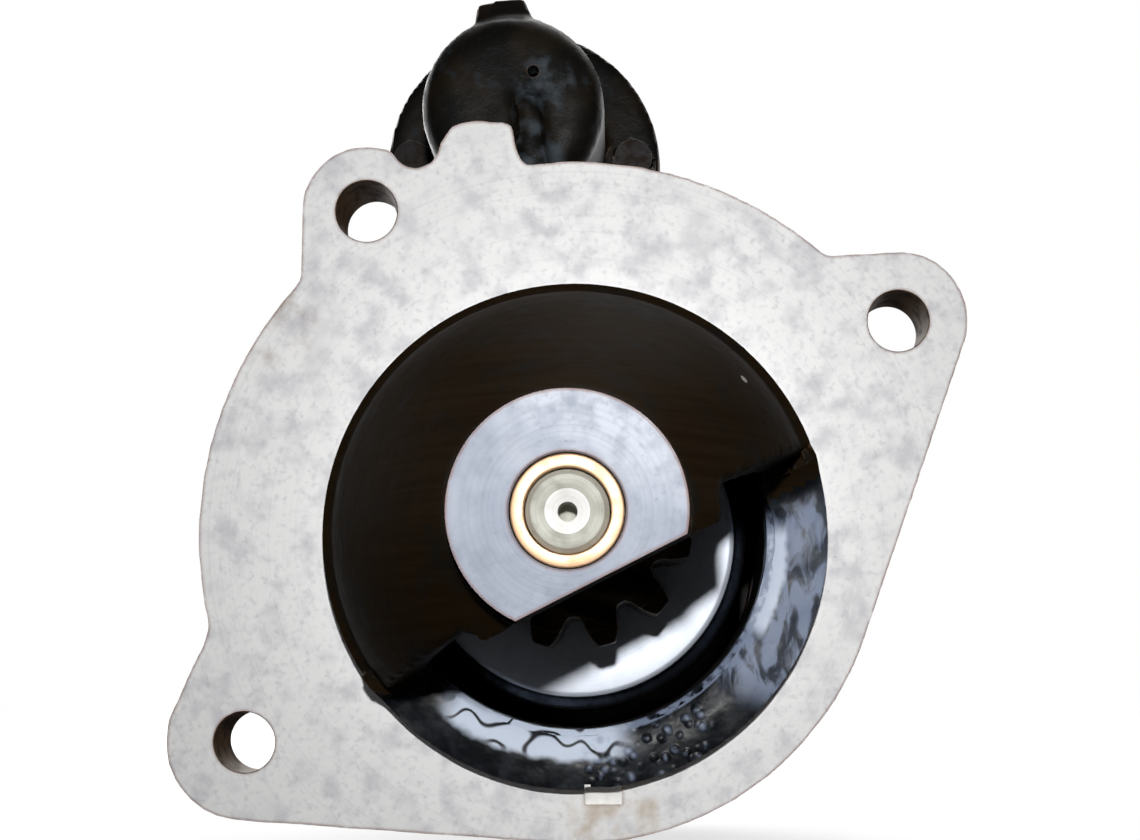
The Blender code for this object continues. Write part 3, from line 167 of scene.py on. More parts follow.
TURRET_RADIUS = 17.3
TURRET_FRONT_Y = 14.0
TURRET_BORE = 12.8
PAD_RADIUS = 28.8
PAD_FRONT_Y = 53.0
PAD_Y = 58.4
SPOT_FACE_X = 15.0
CHIP = (4.9, -45.7, 3.4, 1.7)  # x, z, half its width, half its height
CHIP_DEPTH = 0.4
BOLT_HOLE = 3.5
STOCK = 1.2  # left on what is machined later
FLUSH = 0.02  # how near a face is to the height it was cut to


# ---- shapes -------------------------------------------------------------------------------------
def solid(points, faces):
    """An object with a closed mesh whose faces point out."""
    mesh = bpy.data.meshes.new("solid")
    mesh.from_pydata([tuple(point) for point in points], [], faces)
    shape = bmesh.new()
    shape.from_mesh(mesh)
    bmesh.ops.recalc_face_normals(shape, faces=shape.faces)
    shape.to_mesh(mesh)
    shape.free()
    return linked(bpy.data.objects.new("solid", mesh))


def linked(made):
    bpy.context.scene.collection.objects.link(made)
    return made


def soften(corners, radius, closed=False, steps=3):
    """Rounds the corners of a line of flat points, each by at most most_of the way to the next.
    A third number on a corner is its own radius."""
    most_of = 0.45
    least = 0.02
    softened = []
    count = len(corners)
    for i, corner in enumerate(corners):
        here = Vector(corner[:2])
        before = Vector(corners[i - 1][:2]) - here
        after = Vector(corners[(i + 1) % count][:2]) - here
        own = corner[2] if len(corner) > 2 else radius
        back = min(own, most_of * before.length, most_of * after.length)
        at_end = not closed and i in (0, count - 1)
        if at_end or back < least:
            softened.append(tuple(here))
            continue
        start = here + before.normalized() * back
        end = here + after.normalized() * back
        for step in range(steps + 1):
            share = step / steps
            bend = start * (1 - share) ** 2 + here * 2 * share * (1 - share) + end * share**2
            softened.append(tuple(bend))
    return softened


def arc(centre, radius, start, end, steps):
    """Points on an arc from start to end in degrees."""
    points = []
    for step in range(steps + 1):
        turn = math.radians(start + (end - start) * step / steps)
        points.append((centre[0] + radius * math.cos(turn), centre[1] + radius * math.sin(turn)))
    return points


def rows_to_solid(rings, closed=False):
    """Joins rings of points into a closed surface. A ring of one point closes an end."""
    points = []
    numbered = []
    steps = max(len(ring) for ring in rings)
    for ring in rings:
        first = len(points)
        points += ring
        numbers = list(range(first, first + len(ring)))
        numbered.append(numbers if len(ring) > 1 else numbers * steps)
    pairs = list(zip(numbered, numbered[1:]))
    if closed:
        pairs.append((numbered[-1], numbered[0]))
    faces = []
    for ring, after in pairs:
        for step in range(steps):
            beside = (step + 1) % steps
            corners = [ring[step], ring[beside], after[beside], after[step]]
            faces.append(list(dict.fromkeys(corners)))
    return solid(points, faces)


def split_long(corners, longest):
    """Adds points to a line of flat points so that no stretch is longer than longest."""
    line = [corners[0]]
    for start, end in zip(corners, corners[1:]):
        pieces = math.ceil(math.dist(start, end) / longest)
        for piece in range(1, pieces + 1):
            share = piece / pieces
            line.append((start[0] + (end[0] - start[0]) * share,
                         start[1] + (end[1] - start[1]) * share))
    return line


def turned(profile, centre=(0.0, 0.0), soft=0.35, steps=None, longest=60.0):
    """A turned shape from (y, radius) points, about the line parallel to Y through centre."""
    closed = profile[0][1] > 0
    rings = []
    for y, radius in split_long(soften(profile, soft, closed), longest):
        if radius < 1e-6:
            rings.append([(centre[0], y, centre[1])])
            continue
        round_points = arc(centre, radius, 0, 360, steps or TURNED_STEPS)[:-1]
        rings.append([(x, y, z) for x, z in round_points])
    return rows_to_solid(rings, closed)


def plug(radius, y_range, centre=(0.0, 0.0), soft=0.35, steps=None, taper=0.0):
    """A round bar parallel to Y, its radius less by taper at the far end."""
    y0, y1 = y_range
    return turned([(y0, 0), (y0, radius), (y1, radius - taper), (y1, 0)], centre, soft, steps)


def bore(radius, y_range, centre=(0.0, 0.0), mouth=0.0, steps=SMALL_STEPS):
    """A cutter for a round hole, which widens by mouth where it meets the face at y_range[0]."""
    y0, y1 = y_range
    if not mouth:
        return plug(radius, y_range, centre, 0, steps)
    wide = radius + mouth + 1
    profile = [(y0 - 1, 0), (y0 - 1, wide), (y0 + mouth, radius), (y1, radius), (y1, 0)]
    return turned(profile, centre, 0, steps)


def outer_cut(radius, far, y_range):
    """A cutter that takes off all between a radius and far."""
    y0, y1 = y_range
    return turned([(y0, radius), (y0, far), (y1, far), (y1, radius)], soft=0)


def tube(node, rounding, soft=0.35):
    """A plain ring that is as long and as wide as a CAD node."""
    y0, y1 = span(node)
    inner, outer = radii(node)
    profile = [(y0, inner), (y0, outer, rounding), (y1, outer, rounding), (y1, inner)]
    return turned(profile, soft=soft)


def threaded(y_range, radius, pitch, centre=(0.0, 0.0)):
    """A screw thread's solid rod. Its ends fade to a plain chamfer."""
    y0, y1 = y_range
    depth = 0.55 * pitch
    rows_per_turn = 7
    count = round((y1 - y0) / pitch * rows_per_turn)
    rings = [[(centre[0], y0, centre[1])]]
    for row in range(count + 1):
        y = y0 + (y1 - y0) * row / count
        ring = []
        for step in range(SMALL_STEPS):
            turn = step / SMALL_STEPS
            phase = (y / pitch - turn) % 1.0
            groove = depth * (1 - abs(2 * phase - 1))
            out = min(radius - groove, radius - depth + 0.8 * min(y - y0, y1 - y))
            ring.append((centre[0] + out * math.cos(2 * math.pi * turn), y,
                         centre[1] + out * math.sin(2 * math.pi * turn)))
        rings.append(ring)
    return rows_to_solid(rings + [[(centre[0], y1, centre[1])]])


def coil(radius, wire, y_range, turns, centre, around=12, per_turn=40):
    """A round wire wound about a line parallel to Y, as a closed solid."""
    pitch = (y_range[1] - y_range[0] - 2 * wire) / turns
    rings = []
    for step in range(int(turns * per_turn) + 1):
        turn = 2 * math.pi * step / per_turn
        y_mid = y_range[0] + wire + pitch * step / per_turn
        section = arc((radius, y_mid), wire, 0, 360, around)[:-1]
        rings.append([(centre[0] + out * math.cos(turn), y, centre[1] + out * math.sin(turn))
                      for out, y in section])
    ends = [[tuple(sum((Vector(point) for point in ring), Vector()) / around)]
            for ring in (rings[0], rings[-1])]
    return rows_to_solid([ends[0]] + rings + [ends[1]])


def broken_edges(piece, width, segments=2, only_along_x=False):
    """Bevels every sharp edge, or only those that run along X."""
    shape = bmesh.new()
    shape.from_mesh(piece.data)
    sharp = [edge for edge in shape.edges if edge.calc_face_angle(0) > SHARP_EDGE]
    if only_along_x:
        sharp = [edge for edge in sharp
                 if abs((edge.verts[0].co - edge.verts[1].co).normalized().x) > 0.9]
    bmesh.ops.bevel(shape, geom=sharp, offset=width, segments=segments, profile=0.5,
                    affect="EDGES", clamp_overlap=True)
    shape.to_mesh(piece.data)
    shape.free()
    return piece


def extruded(outline, y_range, edge=0.0):
    """An outline of (x, z) points carried along Y, with its edges broken."""
    count = len(outline)
    points = [(x, y, z) for y in y_range for x, z in outline]
    faces = [list(range(count)), list(range(count, 2 * count))]
    for i in range(count):
        j = (i + 1) % count
        faces.append([i, j, count + j, count + i])
    piece = solid(points, faces)
    return broken_edges(piece, edge) if edge else piece


def block(x_range, y_range, z_range, edge=0.0):
    x0, x1 = x_range
    z0, z1 = z_range
    return extruded([(x0, z0), (x1, z0), (x1, z1), (x0, z1)], y_range, edge)


def across(outline, x_range, edge=0.0):
    """An outline of (y, z) points carried along X, with its edges broken."""
    swap = Matrix(((0, 1, 0, 0), (1, 0, 0, 0), (0, 0, 1, 0), (0, 0, 0, 1)))
    return moved(extruded(outline, x_range, edge), swap)


def toothed(count, corners):
    """A closed outline that repeats (radius, share of one pitch) corners count times."""
    outline = []
    for tooth in range(count):
        for radius, share in corners:
            turn = 2 * math.pi * (tooth + share) / count
            outline.append((radius * math.cos(turn), radius * math.sin(turn)))
    return outline


def moved(piece, matrix):
    piece.data.transform(matrix)
    if matrix.determinant() < 0:
        piece.data.flip_normals()
    return piece


def aimed(piece, direction, foot):
    """Swings a piece drawn along Y so that Y runs along direction from foot."""
    swing = Vector((0, 1, 0)).rotation_difference(Vector(direction)).to_matrix().to_4x4()
    return moved(piece, Matrix.Translation(foot) @ swing)


def radial(piece, degrees, y):
    """Swings a piece drawn along Y from the origin so that it points out from the shaft."""
    turn = math.radians(degrees)
    return aimed(piece, (math.cos(turn), 0, math.sin(turn)), (0, y, 0))


def on_pivot(piece, x=0.0, side=1):
    """Swings a piece drawn along Y onto the lever's pivot, from x to one side."""
    return aimed(piece, (side, 0, 0), (x, PIVOT.y, PIVOT.z))


def about_shaft(piece, degrees):
    """Turns a piece about the shaft, from X towards Z."""
    return moved(piece, Matrix.Rotation(-math.radians(degrees), 4, "Y"))


def leaned(pieces):
    return [moved(piece, Matrix.Rotation(LEAN, 4, "Y")) for piece in pieces]


def settle(piece):
    """Applies a piece's modifiers to its mesh."""
    bpy.context.view_layer.update()
    graph = bpy.context.evaluated_depsgraph_get()
    changed = bpy.data.meshes.new_from_object(piece.evaluated_get(graph))
    before = piece.data
    piece.modifiers.clear()
    piece.data = changed
    bpy.data.meshes.remove(before)
    return piece


def combined(piece, others, operation):
    for other in others:
        change = piece.modifiers.new("change", "BOOLEAN")
        change.operation = operation
        change.solver = "MANIFOLD"
        change.object = other
    settle(piece)
    for other in others:
        bpy.data.objects.remove(other)
    return piece


def join(piece, *others):
    return combined(piece, others, "UNION")


def cut(piece, *others):
    return combined(piece, others, "DIFFERENCE")


def common(piece, *others):
    return combined(piece, others, "INTERSECT")


def cast(piece, height_at):
    """Turns joined blanks into one casting: its edges and corners round over and fill in, and
    each point then moves along its normal by height_at(point)."""
    remesh = piece.modifiers.new("remesh", "REMESH")
    remesh.mode = "VOXEL"
    remesh.voxel_size = CAST_VOXEL
    smooth = piece.modifiers.new("smooth", "SMOOTH")
    smooth.factor = 0.5
    smooth.iterations = CAST_SMOOTHING
    settle(piece)
    shifts = [vertex.normal * height_at(vertex.co) for vertex in piece.data.vertices]
    for vertex, shift in zip(piece.data.vertices, shifts):
        vertex.co += shift
    return piece


def grain(point, size):
    return noise.fractal(point / size, 1.0, 2.0, 3)


def hexagon_head(radius, y_range, centre=(0.0, 0.0), both_ends=False):
    """A six-sided head or nut, its corners turned off at the far end, or at both."""
    y0, y1 = y_range
    drop = 0.15 * radius
    slope = 0.8 * drop
    rim = 1.02 * radius
    profile = [(y0, 0), (y0, rim), (y1 - slope, rim), (y1, rim - drop), (y1, 0)]
    if both_ends:
        profile[1:2] = [(y0, rim - drop), (y0 + slope, rim)]
    head = extruded(arc(centre, radius, 30, 330, 5), (y0 - 0.01, y1 + 0.01))
    return common(head, turned(profile, centre, soft=0, steps=SMALL_STEPS * 2))


# ---- materials ----------------------------------------------------------------------------------
LOOKS = {}


def scaled(colour, share):
    return tuple(share * part for part in colour)


class Nodes:
    """Adds shader nodes to a tree and links them."""

    def __init__(self, tree):
        self.tree = tree

    def add(self, kind, inputs=None, **settings):
        """Adds a node, feeds its inputs with sockets or values, and returns its outputs."""
        made = self.tree.nodes.new("ShaderNode" + kind)
        for key, value in settings.items():
            setattr(made, key, value)
        for key, value in (inputs or {}).items():
            self.feed(made.inputs[key], value)
        return made.outputs

    def feed(self, socket, value):
        if isinstance(value, bpy.types.NodeSocket):
            self.tree.links.new(value, socket)
        else:
            socket.default_value = value

    def sums(self, operation, *values):
        return self.add("Math", dict(enumerate(values)), operation=operation)[0]

    def times(self, first, second):
        return self.sums("MULTIPLY", first, second)

    def vectors(self, operation, *values):
        """The outputs of one step of vector arithmetic."""
        return self.add("VectorMath", dict(enumerate(values)), operation=operation)

    def ramp(self, value, low, high, start=0.0, end=1.0, shape="SMOOTHSTEP"):
        """start where value is under low, end where it is over high, and smooth between."""
        inputs = {"Value": value, "From Min": low, "From Max": high, "To Min": start, "To Max": end}
        return self.add("MapRange", inputs, interpolation_type=shape)[0]


class Surface(Nodes):
    """A procedural material: layers of noise drive its colour, its roughness and its relief."""

    def __init__(self, name, colour, roughness, metallic=0.0, coat=0.0, shine=0.5):
        self.name = name
        self.material = bpy.data.materials.new(name)
        self.material.use_nodes = True
        super().__init__(self.material.node_tree)
        self.shader = self.tree.nodes["Principled BSDF"]
        self.colour = (*colour, 1.0)
        self.roughness = roughness
        self.metallic = metallic
        self.normal = None
        self.shader.inputs["Specular IOR Level"].default_value = shine
        self.shader.inputs["Coat Weight"].default_value = coat
        self.shader.inputs["Coat Roughness"].default_value = 0.12
        self.place = self.add("TexCoord")["Object"]

    def from_shaft(self):
        """Distance in metres from the shaft's line."""
        flat = self.vectors("MULTIPLY", self.place, (1, 0, 1))[0]
        return self.vectors("LENGTH", flat)["Value"]

    def noise(self, size, detail=3.0, stretch=(1, 1, 1), rings=False, twist=0.0):
        """Noise with features of about size millimetres. Stretch makes them longer along an axis,
        and rings bends them round the shaft."""
        place = self.place
        if rings:
            height = self.add("SeparateXYZ", {0: place})["Y"]
            place = self.add("CombineXYZ", {0: self.from_shaft(), 1: height})[0]
        scale = tuple(1 / (MM * size * long) for long in stretch)
        place = self.vectors("MULTIPLY", place, scale)[0]
        return self.add("TexNoise", {"Vector": place, "Scale": 1.0, "Detail": detail,
                                     "Distortion": twist})["Fac"]

    def blotches(self, size, detail, low, high, amount=1.0, **more):
        """Soft patches: amount where the noise is over high, 0 where it is under low."""
        return self.ramp(self.noise(size, detail, **more), low, high, 0.0, amount)

    def band(self, value, low, high, soft):
        """1 where value is between low and high millimetres, and 0 beyond soft more."""
        rising = self.ramp(value, (low - soft) * MM, low * MM)
        return self.times(rising, self.ramp(value, high * MM, (high + soft) * MM, 1.0, 0.0))

    def near(self, point, radius, to_frame=TO_FRAME_SQUARE):
        """1 within radius millimetres of a point."""
        away = self.vectors("DISTANCE", self.place, tuple(to_frame @ Vector(point)))["Value"]
        return self.ramp(away, radius * MM * 0.7, radius * MM, 1.0, 0.0)

    def along(self, direction, low, high):
        """0 where the distance along a direction is under low millimetres, 1 where over high."""
        distance = self.vectors("DOT_PRODUCT", self.place, direction)["Value"]
        return self.ramp(distance, low * MM, high * MM)

    def worn(self, radius, *patches):
        """Patches along edges, found by how far an edge of this radius would turn the surface."""
        round_normal = self.add("Bevel", {"Radius": radius * MM}, samples=4)[0]
        true_normal = self.add("NewGeometry")["Normal"]
        facing = self.vectors("DOT_PRODUCT", round_normal, true_normal)["Value"]
        return self.times(self.ramp(facing, 0.80, 0.995, 1.0, 0.0), self.blotches(*patches))

    def dusty(self, *patches):
        """Patches on faces that point up."""
        height = self.add("SeparateXYZ", {0: self.add("NewGeometry")["Normal"]})["Z"]
        return self.times(self.ramp(height, 0.2, 0.95), self.blotches(*patches))

    def mixed(self, mask, first, second):
        return self.add("Mix", {0: mask, 2: first, 3: second}, data_type="FLOAT")[0]

    def tint(self, mask, colour, roughness=None, metallic=None):
        """Blends in another colour, and with it another roughness and metallic, where mask is 1."""
        self.colour = self.add("Mix", {0: mask, 6: self.colour, 7: (*colour, 1.0)},
                               data_type="RGBA")[2]
        if roughness is not None:
            self.roughness = self.mixed(mask, self.roughness, roughness)
        if metallic is not None:
            self.metallic = self.mixed(mask, self.metallic, metallic)

    def relief(self, height, depth):
        """Raises the surface by depth millimetres where height is 1."""
        inputs = {"Height": height, "Distance": depth * MM, "Strength": 1.0}
        if self.normal is not None:
            inputs["Normal"] = self.normal
        self.normal = self.add("Bump", inputs)[0]

    def done(self):
        inputs = self.shader.inputs
        self.feed(inputs["Base Color"], self.colour)
        self.feed(inputs["Roughness"], self.roughness)
        self.feed(inputs["Metallic"], self.metallic)
        if self.normal is not None:
            self.feed(inputs["Normal"], self.normal)
        LOOKS[self.name] = self.material


def casting_paint():
    """Black paint over a sand casting, thin and brown at its edges, with painted bluish-grey highlights in patches
    and at two places.
    """
    black, gloss = (0.0065, 0.0062, 0.0058), 0.38
    look = Surface("casting_paint", black, gloss, shine=0.18)
    look.tint(look.blotches(9, 3, 0.42, 0.68), (0.014, 0.0095, 0.005), gloss + 0.12)
    look.tint(look.blotches(1.3, 4, 0.60, 0.72), scaled(black, 1.9))
    # Painted bluish-grey highlights in soft patches.
    look.tint(look.blotches(4.5, 3, 0.58, 0.70, 0.7), (0.024, 0.029, 0.034), gloss - 0.06)
    look.tint(look.worn(0.7, 2.2, 4, 0.40, 0.62), (0.13, 0.075, 0.045), 0.55)
    look.tint(look.dusty(5, 5, 0.38, 0.75, 0.4), (0.16, 0.14, 0.12), 0.75)
    # Painted highlights on the rib and round the vent hole.
    for place, radius in (((2.8, 10.5, 72.0), 8.0), ((6.5, 14.5, 86.0), 6.5)):
        painted_highlight = look.times(look.near(place, radius, TO_FRAME), look.blotches(3.5, 3, 0.36, 0.66))
        look.tint(painted_highlight, (0.058, 0.070, 0.082), gloss + 0.1)
    look.relief(look.noise(2.6), 0.12)
    look.relief(look.noise(0.5, 2), 0.03)
    look.done()


def nose_paint():
    """Thin brown-black paint on the nose, brushed round it, with one chip out of it."""
    look = Surface("nose_paint", (0.0125, 0.0072, 0.0030), 0.55, shine=0.02)
    bands = look.noise(0.9, 3, stretch=(30, 30, 1))
    look.tint(look.ramp(bands, 0.35, 0.7), (0.017, 0.0105, 0.0050), 0.6)
    look.tint(look.blotches(7, 4, 0.50, 0.74), (0.0085, 0.0080, 0.0065), 0.5)
    look.tint(look.worn(0.5, 3, 4, 0.50, 0.68), (0.06, 0.04, 0.025), 0.5)
    look.tint(look.near((28.6, -20.2, 24.9), 0.9), (0.42, 0.40, 0.36), 0.5, 0.4)
    look.relief(bands, 0.02)
    look.relief(look.noise(1.8, 4), 0.07)
    look.done()


def pooled_paint():
    """Glossy black paint that ran into the window's floor, with beads, and painted pale bluish sheens and white
    highlights standing for the flash's reflection off its slopes.
    """
    # A painted bluish sheen, a painted white highlight, and a near-black for dark squiggles through that
    # highlight.
    painted_sheen_blue, painted_highlight_white, swirl_dark = (0.30, 0.36, 0.50), (0.66, 0.74, 0.88), (0.006, 0.007, 0.012)
    look = Surface("pooled_paint", (0.004, 0.005, 0.007), 0.32, shine=0.12)
    look.tint(look.blotches(4, 4, 0.45, 0.7), (0.014, 0.017, 0.022), 0.40)
    away = look.from_shaft()
    wavy = look.sums("ADD", away, look.times(look.noise(4.5, 2), 3.0 * MM))

    opens = (math.cos(WINDOW_ANGLE), 0, math.sin(WINDOW_ANGLE))
    clear_of_nose = look.along(opens, WINDOW_DEPTH + 3.5, WINDOW_DEPTH + 8.0)
    # Painted sheen in streaks over the right of the floor, clear of the nose.
    streaks = look.ramp(look.noise(2.6, 3, stretch=(1, 1, 2.4), twist=0.8), 0.40, 0.60, 0.10, 0.80)
    right = look.times(look.near((39.0, -3.0, -9.0), 24.0), clear_of_nose)
    look.tint(look.times(right, streaks), painted_sheen_blue, 0.45)
    # A painted white highlight along the floor's shoulder on the right.
    shoulder = look.times(look.band(wavy, 36.0, 38.3, 1.2), clear_of_nose)
    look.tint(look.times(look.near((36.0, -3.0, -8.0), 11.0), shoulder), painted_highlight_white, 0.4)
    # A painted sheen along the floor's inner lip.
    lip = look.times(look.band(away, 34.3, 35.0, 0.5), look.blotches(1.6, 2, 0.35, 0.55))
    look.tint(look.times(look.times(lip, clear_of_nose), 0.7), painted_sheen_blue, 0.4)
    # A broad painted white highlight low on the left, with dark squiggles through it.
    painted_highlight_area = look.times(look.near((-7.5, -3.0, -35.5), 19.0), look.band(wavy, 35.8, 40.0, 1.6))
    look.tint(painted_highlight_area, painted_highlight_white, 0.4)
    swirl = look.sums("ABSOLUTE", look.sums("SUBTRACT", look.noise(9.0, 1), 0.47))
    look.tint(look.times(look.ramp(swirl, 0.006, 0.030, 1.0, 0.0), painted_highlight_area), swirl_dark, 0.4)

    cells = look.add("TexVoronoi", {"Vector": look.place, "Scale": 1 / (MM * 2.0)})["Distance"]
    beads = look.ramp(cells, 0.12, 0.55, 1.0, 0.0)
    beads = look.times(beads, look.near((13.0, -3.0, -38.0), 14.0))
    # A painted sheen on some of the beads.
    look.tint(look.times(look.times(beads, look.blotches(3, 2, 0.45, 0.62)), 0.6), painted_sheen_blue)
    look.relief(look.noise(3.2, 2), 0.16)
    look.relief(beads, 0.16)
    look.done()


def milled_face(name, colour, shade, scratches, rings, painted_shade_amount=0.0, stains=()):
    """Bare machined iron: softly mottled, rusty at its edges, and darkened by painted shade towards the lower left
    where the caller asks for it.
    """
    look = Surface(name, colour, 0.55, metallic=0.2)
    if painted_shade_amount:
        # Painted shade: darker towards the lower left.
        look.tint(look.times(look.along((-0.45, 0, -0.9), -15, -3), painted_shade_amount), shade)
    look.tint(look.blotches(4.5, 6, 0.42, 0.74, 0.8), shade, 0.62)
    look.tint(look.blotches(1.1, 4, 0.48, 0.80, 0.5), scaled(shade, 0.8))
    look.tint(look.blotches(13, 3, 0.52, 0.72, 0.5), scaled(colour, 0.95))
    for place, radius, stain in stains:
        spread = look.times(look.near(place, radius), look.blotches(4.0, 5, 0.35, 0.75))
        look.tint(look.times(spread, 0.75), stain, 0.7)
    pits = look.blotches(0.5, 2, 0.73, 0.79)
    look.tint(look.times(pits, 0.6), (0.30, 0.28, 0.28), 0.7)
    circles = look.noise(0.7, 3, rings=True, stretch=(1, 6, 1))
    look.tint(look.ramp(circles, 0.48, 0.80, 0.0, rings), scaled(shade, 0.7))
    look.tint(look.worn(1.1, 2.5, 4, 0.22, 0.46), (0.24, 0.10, 0.06), 0.65)
    look.relief(circles, scratches)
    look.relief(pits, -0.04)
    look.done()


def turned_metal(name, colour, stain, roughness, marks=0.012, amount=0.7, metallic=1.0):
    """Metal turned about the shaft's line: fine rings and some stain."""
    look = Surface(name, colour, roughness, metallic=metallic)
    rings = look.noise(0.35, 2, rings=True, stretch=(1, 3, 1))
    look.tint(look.blotches(3, 4, 0.42, 0.72, amount), stain, roughness + 0.15)
    look.tint(look.ramp(rings, 0.5, 0.75, 0.0, 0.35), scaled(colour, 0.6))
    look.relief(rings, marks)
    look.done()


def plain_metal(name, colour, stain, roughness, marks, edge=None, metallic=1.0):
    """Pressed or plated metal, a little stained, with its edges rubbed if edge has a colour."""
    look = Surface(name, colour, roughness, metallic=metallic)
    look.tint(look.blotches(2.4, 5, 0.42, 0.70, 0.8), stain, roughness + 0.18)
    look.tint(look.blotches(0.6, 3, 0.60, 0.72, 0.5), scaled(stain, 0.5))
    if edge:
        look.tint(look.worn(0.35, 1.5, 3, 0.35, 0.6), edge, roughness * 0.8)
    look.relief(look.noise(0.9, 4), marks)
    look.done()


def enamel():
    """Sprayed black enamel on drawn steel: orange peel, scuffs, dust and rubbed edges."""
    black = (0.010, 0.010, 0.0105)
    look = Surface("enamel", black, 0.30, coat=0.25)
    look.tint(look.blotches(22, 4, 0.45, 0.68), scaled(black, 1.7), 0.36)
    look.tint(look.blotches(0.7, 4, 0.66, 0.78, 0.6, stretch=(14, 1, 14)), (0.07, 0.065, 0.06), 0.5)
    look.tint(look.worn(0.5, 2.0, 4, 0.46, 0.62), (0.24, 0.20, 0.17), 0.45, 0.6)
    look.tint(look.dusty(14, 6, 0.30, 0.9, 0.20), (0.16, 0.145, 0.13), 0.6)
    look.relief(look.noise(1.6, 1), 0.02)
    look.done()


def moulded(name, colour, fleck):
    """Moulded resin: fine flecks of filler under a soft sheen."""
    look = Surface(name, colour, 0.38)
    look.tint(look.blotches(0.5, 3, 0.56, 0.70, 0.7), fleck, 0.5)
    look.tint(look.blotches(6, 3, 0.45, 0.75, 0.5), scaled(colour, 1.6), 0.5)
    look.relief(look.noise(0.9, 3), 0.02)
    look.done()


def wound(name, colour, shade, pitch):
    """Cotton tape, wire or thin sheets: close ridges across the shaft's line."""
    look = Surface(name, colour, 0.75)
    ridges = look.noise(pitch, 1, stretch=(7, 1, 7))
    look.tint(look.ramp(ridges, 0.40, 0.62), shade, 0.85)
    look.tint(look.blotches(8, 4, 0.50, 0.75, 0.7), scaled(colour, 0.35))
    look.relief(ridges, 0.25)
    look.done()


def make_looks():
    stains = (((-54.0, 0.0, 38.0), 9.0, (0.36, 0.31, 0.25)),
              ((6.0, 0.0, -49.0), 10.0, (0.56, 0.44, 0.30)))
    casting_paint()
    nose_paint()
    pooled_paint()
    enamel()
    milled_face("flange_face", (0.87, 0.865, 0.86), (0.61, 0.605, 0.64), 0.010, 0.18, stains=stains)
    # The boss face is darkened by painted shade towards its lower left.
    milled_face("boss_face", (0.48, 0.51, 0.57), (0.28, 0.31, 0.38), 0.03, 0.5, painted_shade_amount=0.9)
    turned_metal("bronze", (0.86, 0.56, 0.34), (0.70, 0.42, 0.24), 0.42, metallic=0.45)
    turned_metal("shaft_steel", (0.47, 0.47, 0.41), (0.34, 0.33, 0.28), 0.55, 0.03, metallic=0.15)
    turned_metal("bright_cut", (0.95, 0.94, 0.92), (0.78, 0.76, 0.70), 0.5, metallic=0.1)
    turned_metal("steel", (0.42, 0.42, 0.43), (0.22, 0.19, 0.16), 0.34)
    turned_metal("zinc_face", (0.82, 0.87, 0.96), (0.66, 0.71, 0.80), 0.40, 0.006, 0.4, 0.35)
    turned_metal("commutator_copper", (0.80, 0.40, 0.24), (0.30, 0.14, 0.09), 0.26, 0.02)
    plain_metal("hole_rust", (0.15, 0.085, 0.04), (0.035, 0.028, 0.024), 0.6, 0.05, metallic=0.3)
    plain_metal("oiled_steel", (0.16, 0.13, 0.10), (0.05, 0.035, 0.02), 0.30, 0.04,
                (0.45, 0.42, 0.38))
    plain_metal("pinion_steel", (0.045, 0.033, 0.020), (0.018, 0.013, 0.008), 0.32, 0.05,
                (0.50, 0.37, 0.18))
    plain_metal("clutch_shell", (0.16, 0.18, 0.22), (0.06, 0.065, 0.08), 0.34, 0.02)
    plain_metal("zinc_plate", (0.66, 0.64, 0.58), (0.42, 0.36, 0.24), 0.30, 0.02,
                (0.75, 0.75, 0.76))
    plain_metal("black_oxide", (0.035, 0.033, 0.033), (0.02, 0.014, 0.01), 0.42, 0.03,
                (0.20, 0.18, 0.16))
    plain_metal("copper", (0.86, 0.42, 0.25), (0.38, 0.17, 0.10), 0.30, 0.02, (0.93, 0.55, 0.36))
    plain_metal("brass", (0.80, 0.62, 0.28), (0.42, 0.29, 0.12), 0.28, 0.02, (0.90, 0.76, 0.42))
    plain_metal("varnished_copper", (0.55, 0.22, 0.09), (0.25, 0.08, 0.03), 0.25, 0.04,
                metallic=0.8)
    plain_metal("spring_steel", (0.30, 0.30, 0.33), (0.12, 0.11, 0.12), 0.28, 0.01,
                (0.55, 0.55, 0.58))
    moulded("phenolic", (0.020, 0.013, 0.010), (0.055, 0.03, 0.018))
    moulded("carbon", (0.035, 0.035, 0.037), (0.09, 0.085, 0.08))
    wound("core_laminations", (0.12, 0.10, 0.09), (0.035, 0.03, 0.028), 0.5)
    wound("cotton_tape", (0.40, 0.29, 0.15), (0.20, 0.13, 0.06), 2.2)
    wound("wound_wire", (0.30, 0.10, 0.035), (0.10, 0.03, 0.012), 0.9)


make_looks()


def placed(piece, node, to_frame=TO_FRAME):
    """Puts a drawn piece into the frame, in place of its CAD node."""
    moved(piece, to_frame)
    piece.name = f"{node}_visual"
    piece.data.name = piece.name
    piece.data.shade_smooth()
    piece.data.set_sharp_from_angle(angle=SMOOTH_ANGLE)
    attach(piece, BODY_OF[node])
    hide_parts(node)


def finished(piece, node, slot, look=None):
    """Places a piece that has one look all over, by default the one named like its slot."""
    piece.data.materials.clear()
    piece.data.materials.append(LOOKS[look or slot])
    placed(piece, node)


def faces_of(piece):
    """Where the middle of each face is and which way it faces: x, y, z, nx, ny, nz."""
    polygons = piece.data.polygons
    arrays = []
    for what in ("center", "normal"):
        values = np.empty(len(polygons) * 3, np.float32)
        polygons.foreach_get(what, values)
        arrays += list(values.reshape(-1, 3).T)
    return arrays


def zoned(piece, base, zones):
    """Gives each face its look: base, or that of the last zone whose mask holds it."""
    mesh = piece.data
    mesh.materials.clear()
    names = [base] + [name for name, _ in zones]
    numbers = np.zeros(len(mesh.polygons), np.int32)
    for name, mask in zones:
        numbers[mask] = names.index(name)
    for name in names:
        mesh.materials.append(LOOKS[name])
    mesh.polygons.foreach_set("material_index", numbers)


# ---- drive end bracket --------------------------------------------------------------------------
def ear_centre(name):
    seat = MOUNTS[f"ear_seat_{name}"]
    away = math.hypot(seat.x, seat.z)
    share = (away - SEAT_POINT_OUT) / away
    return seat.x * share, seat.z * share


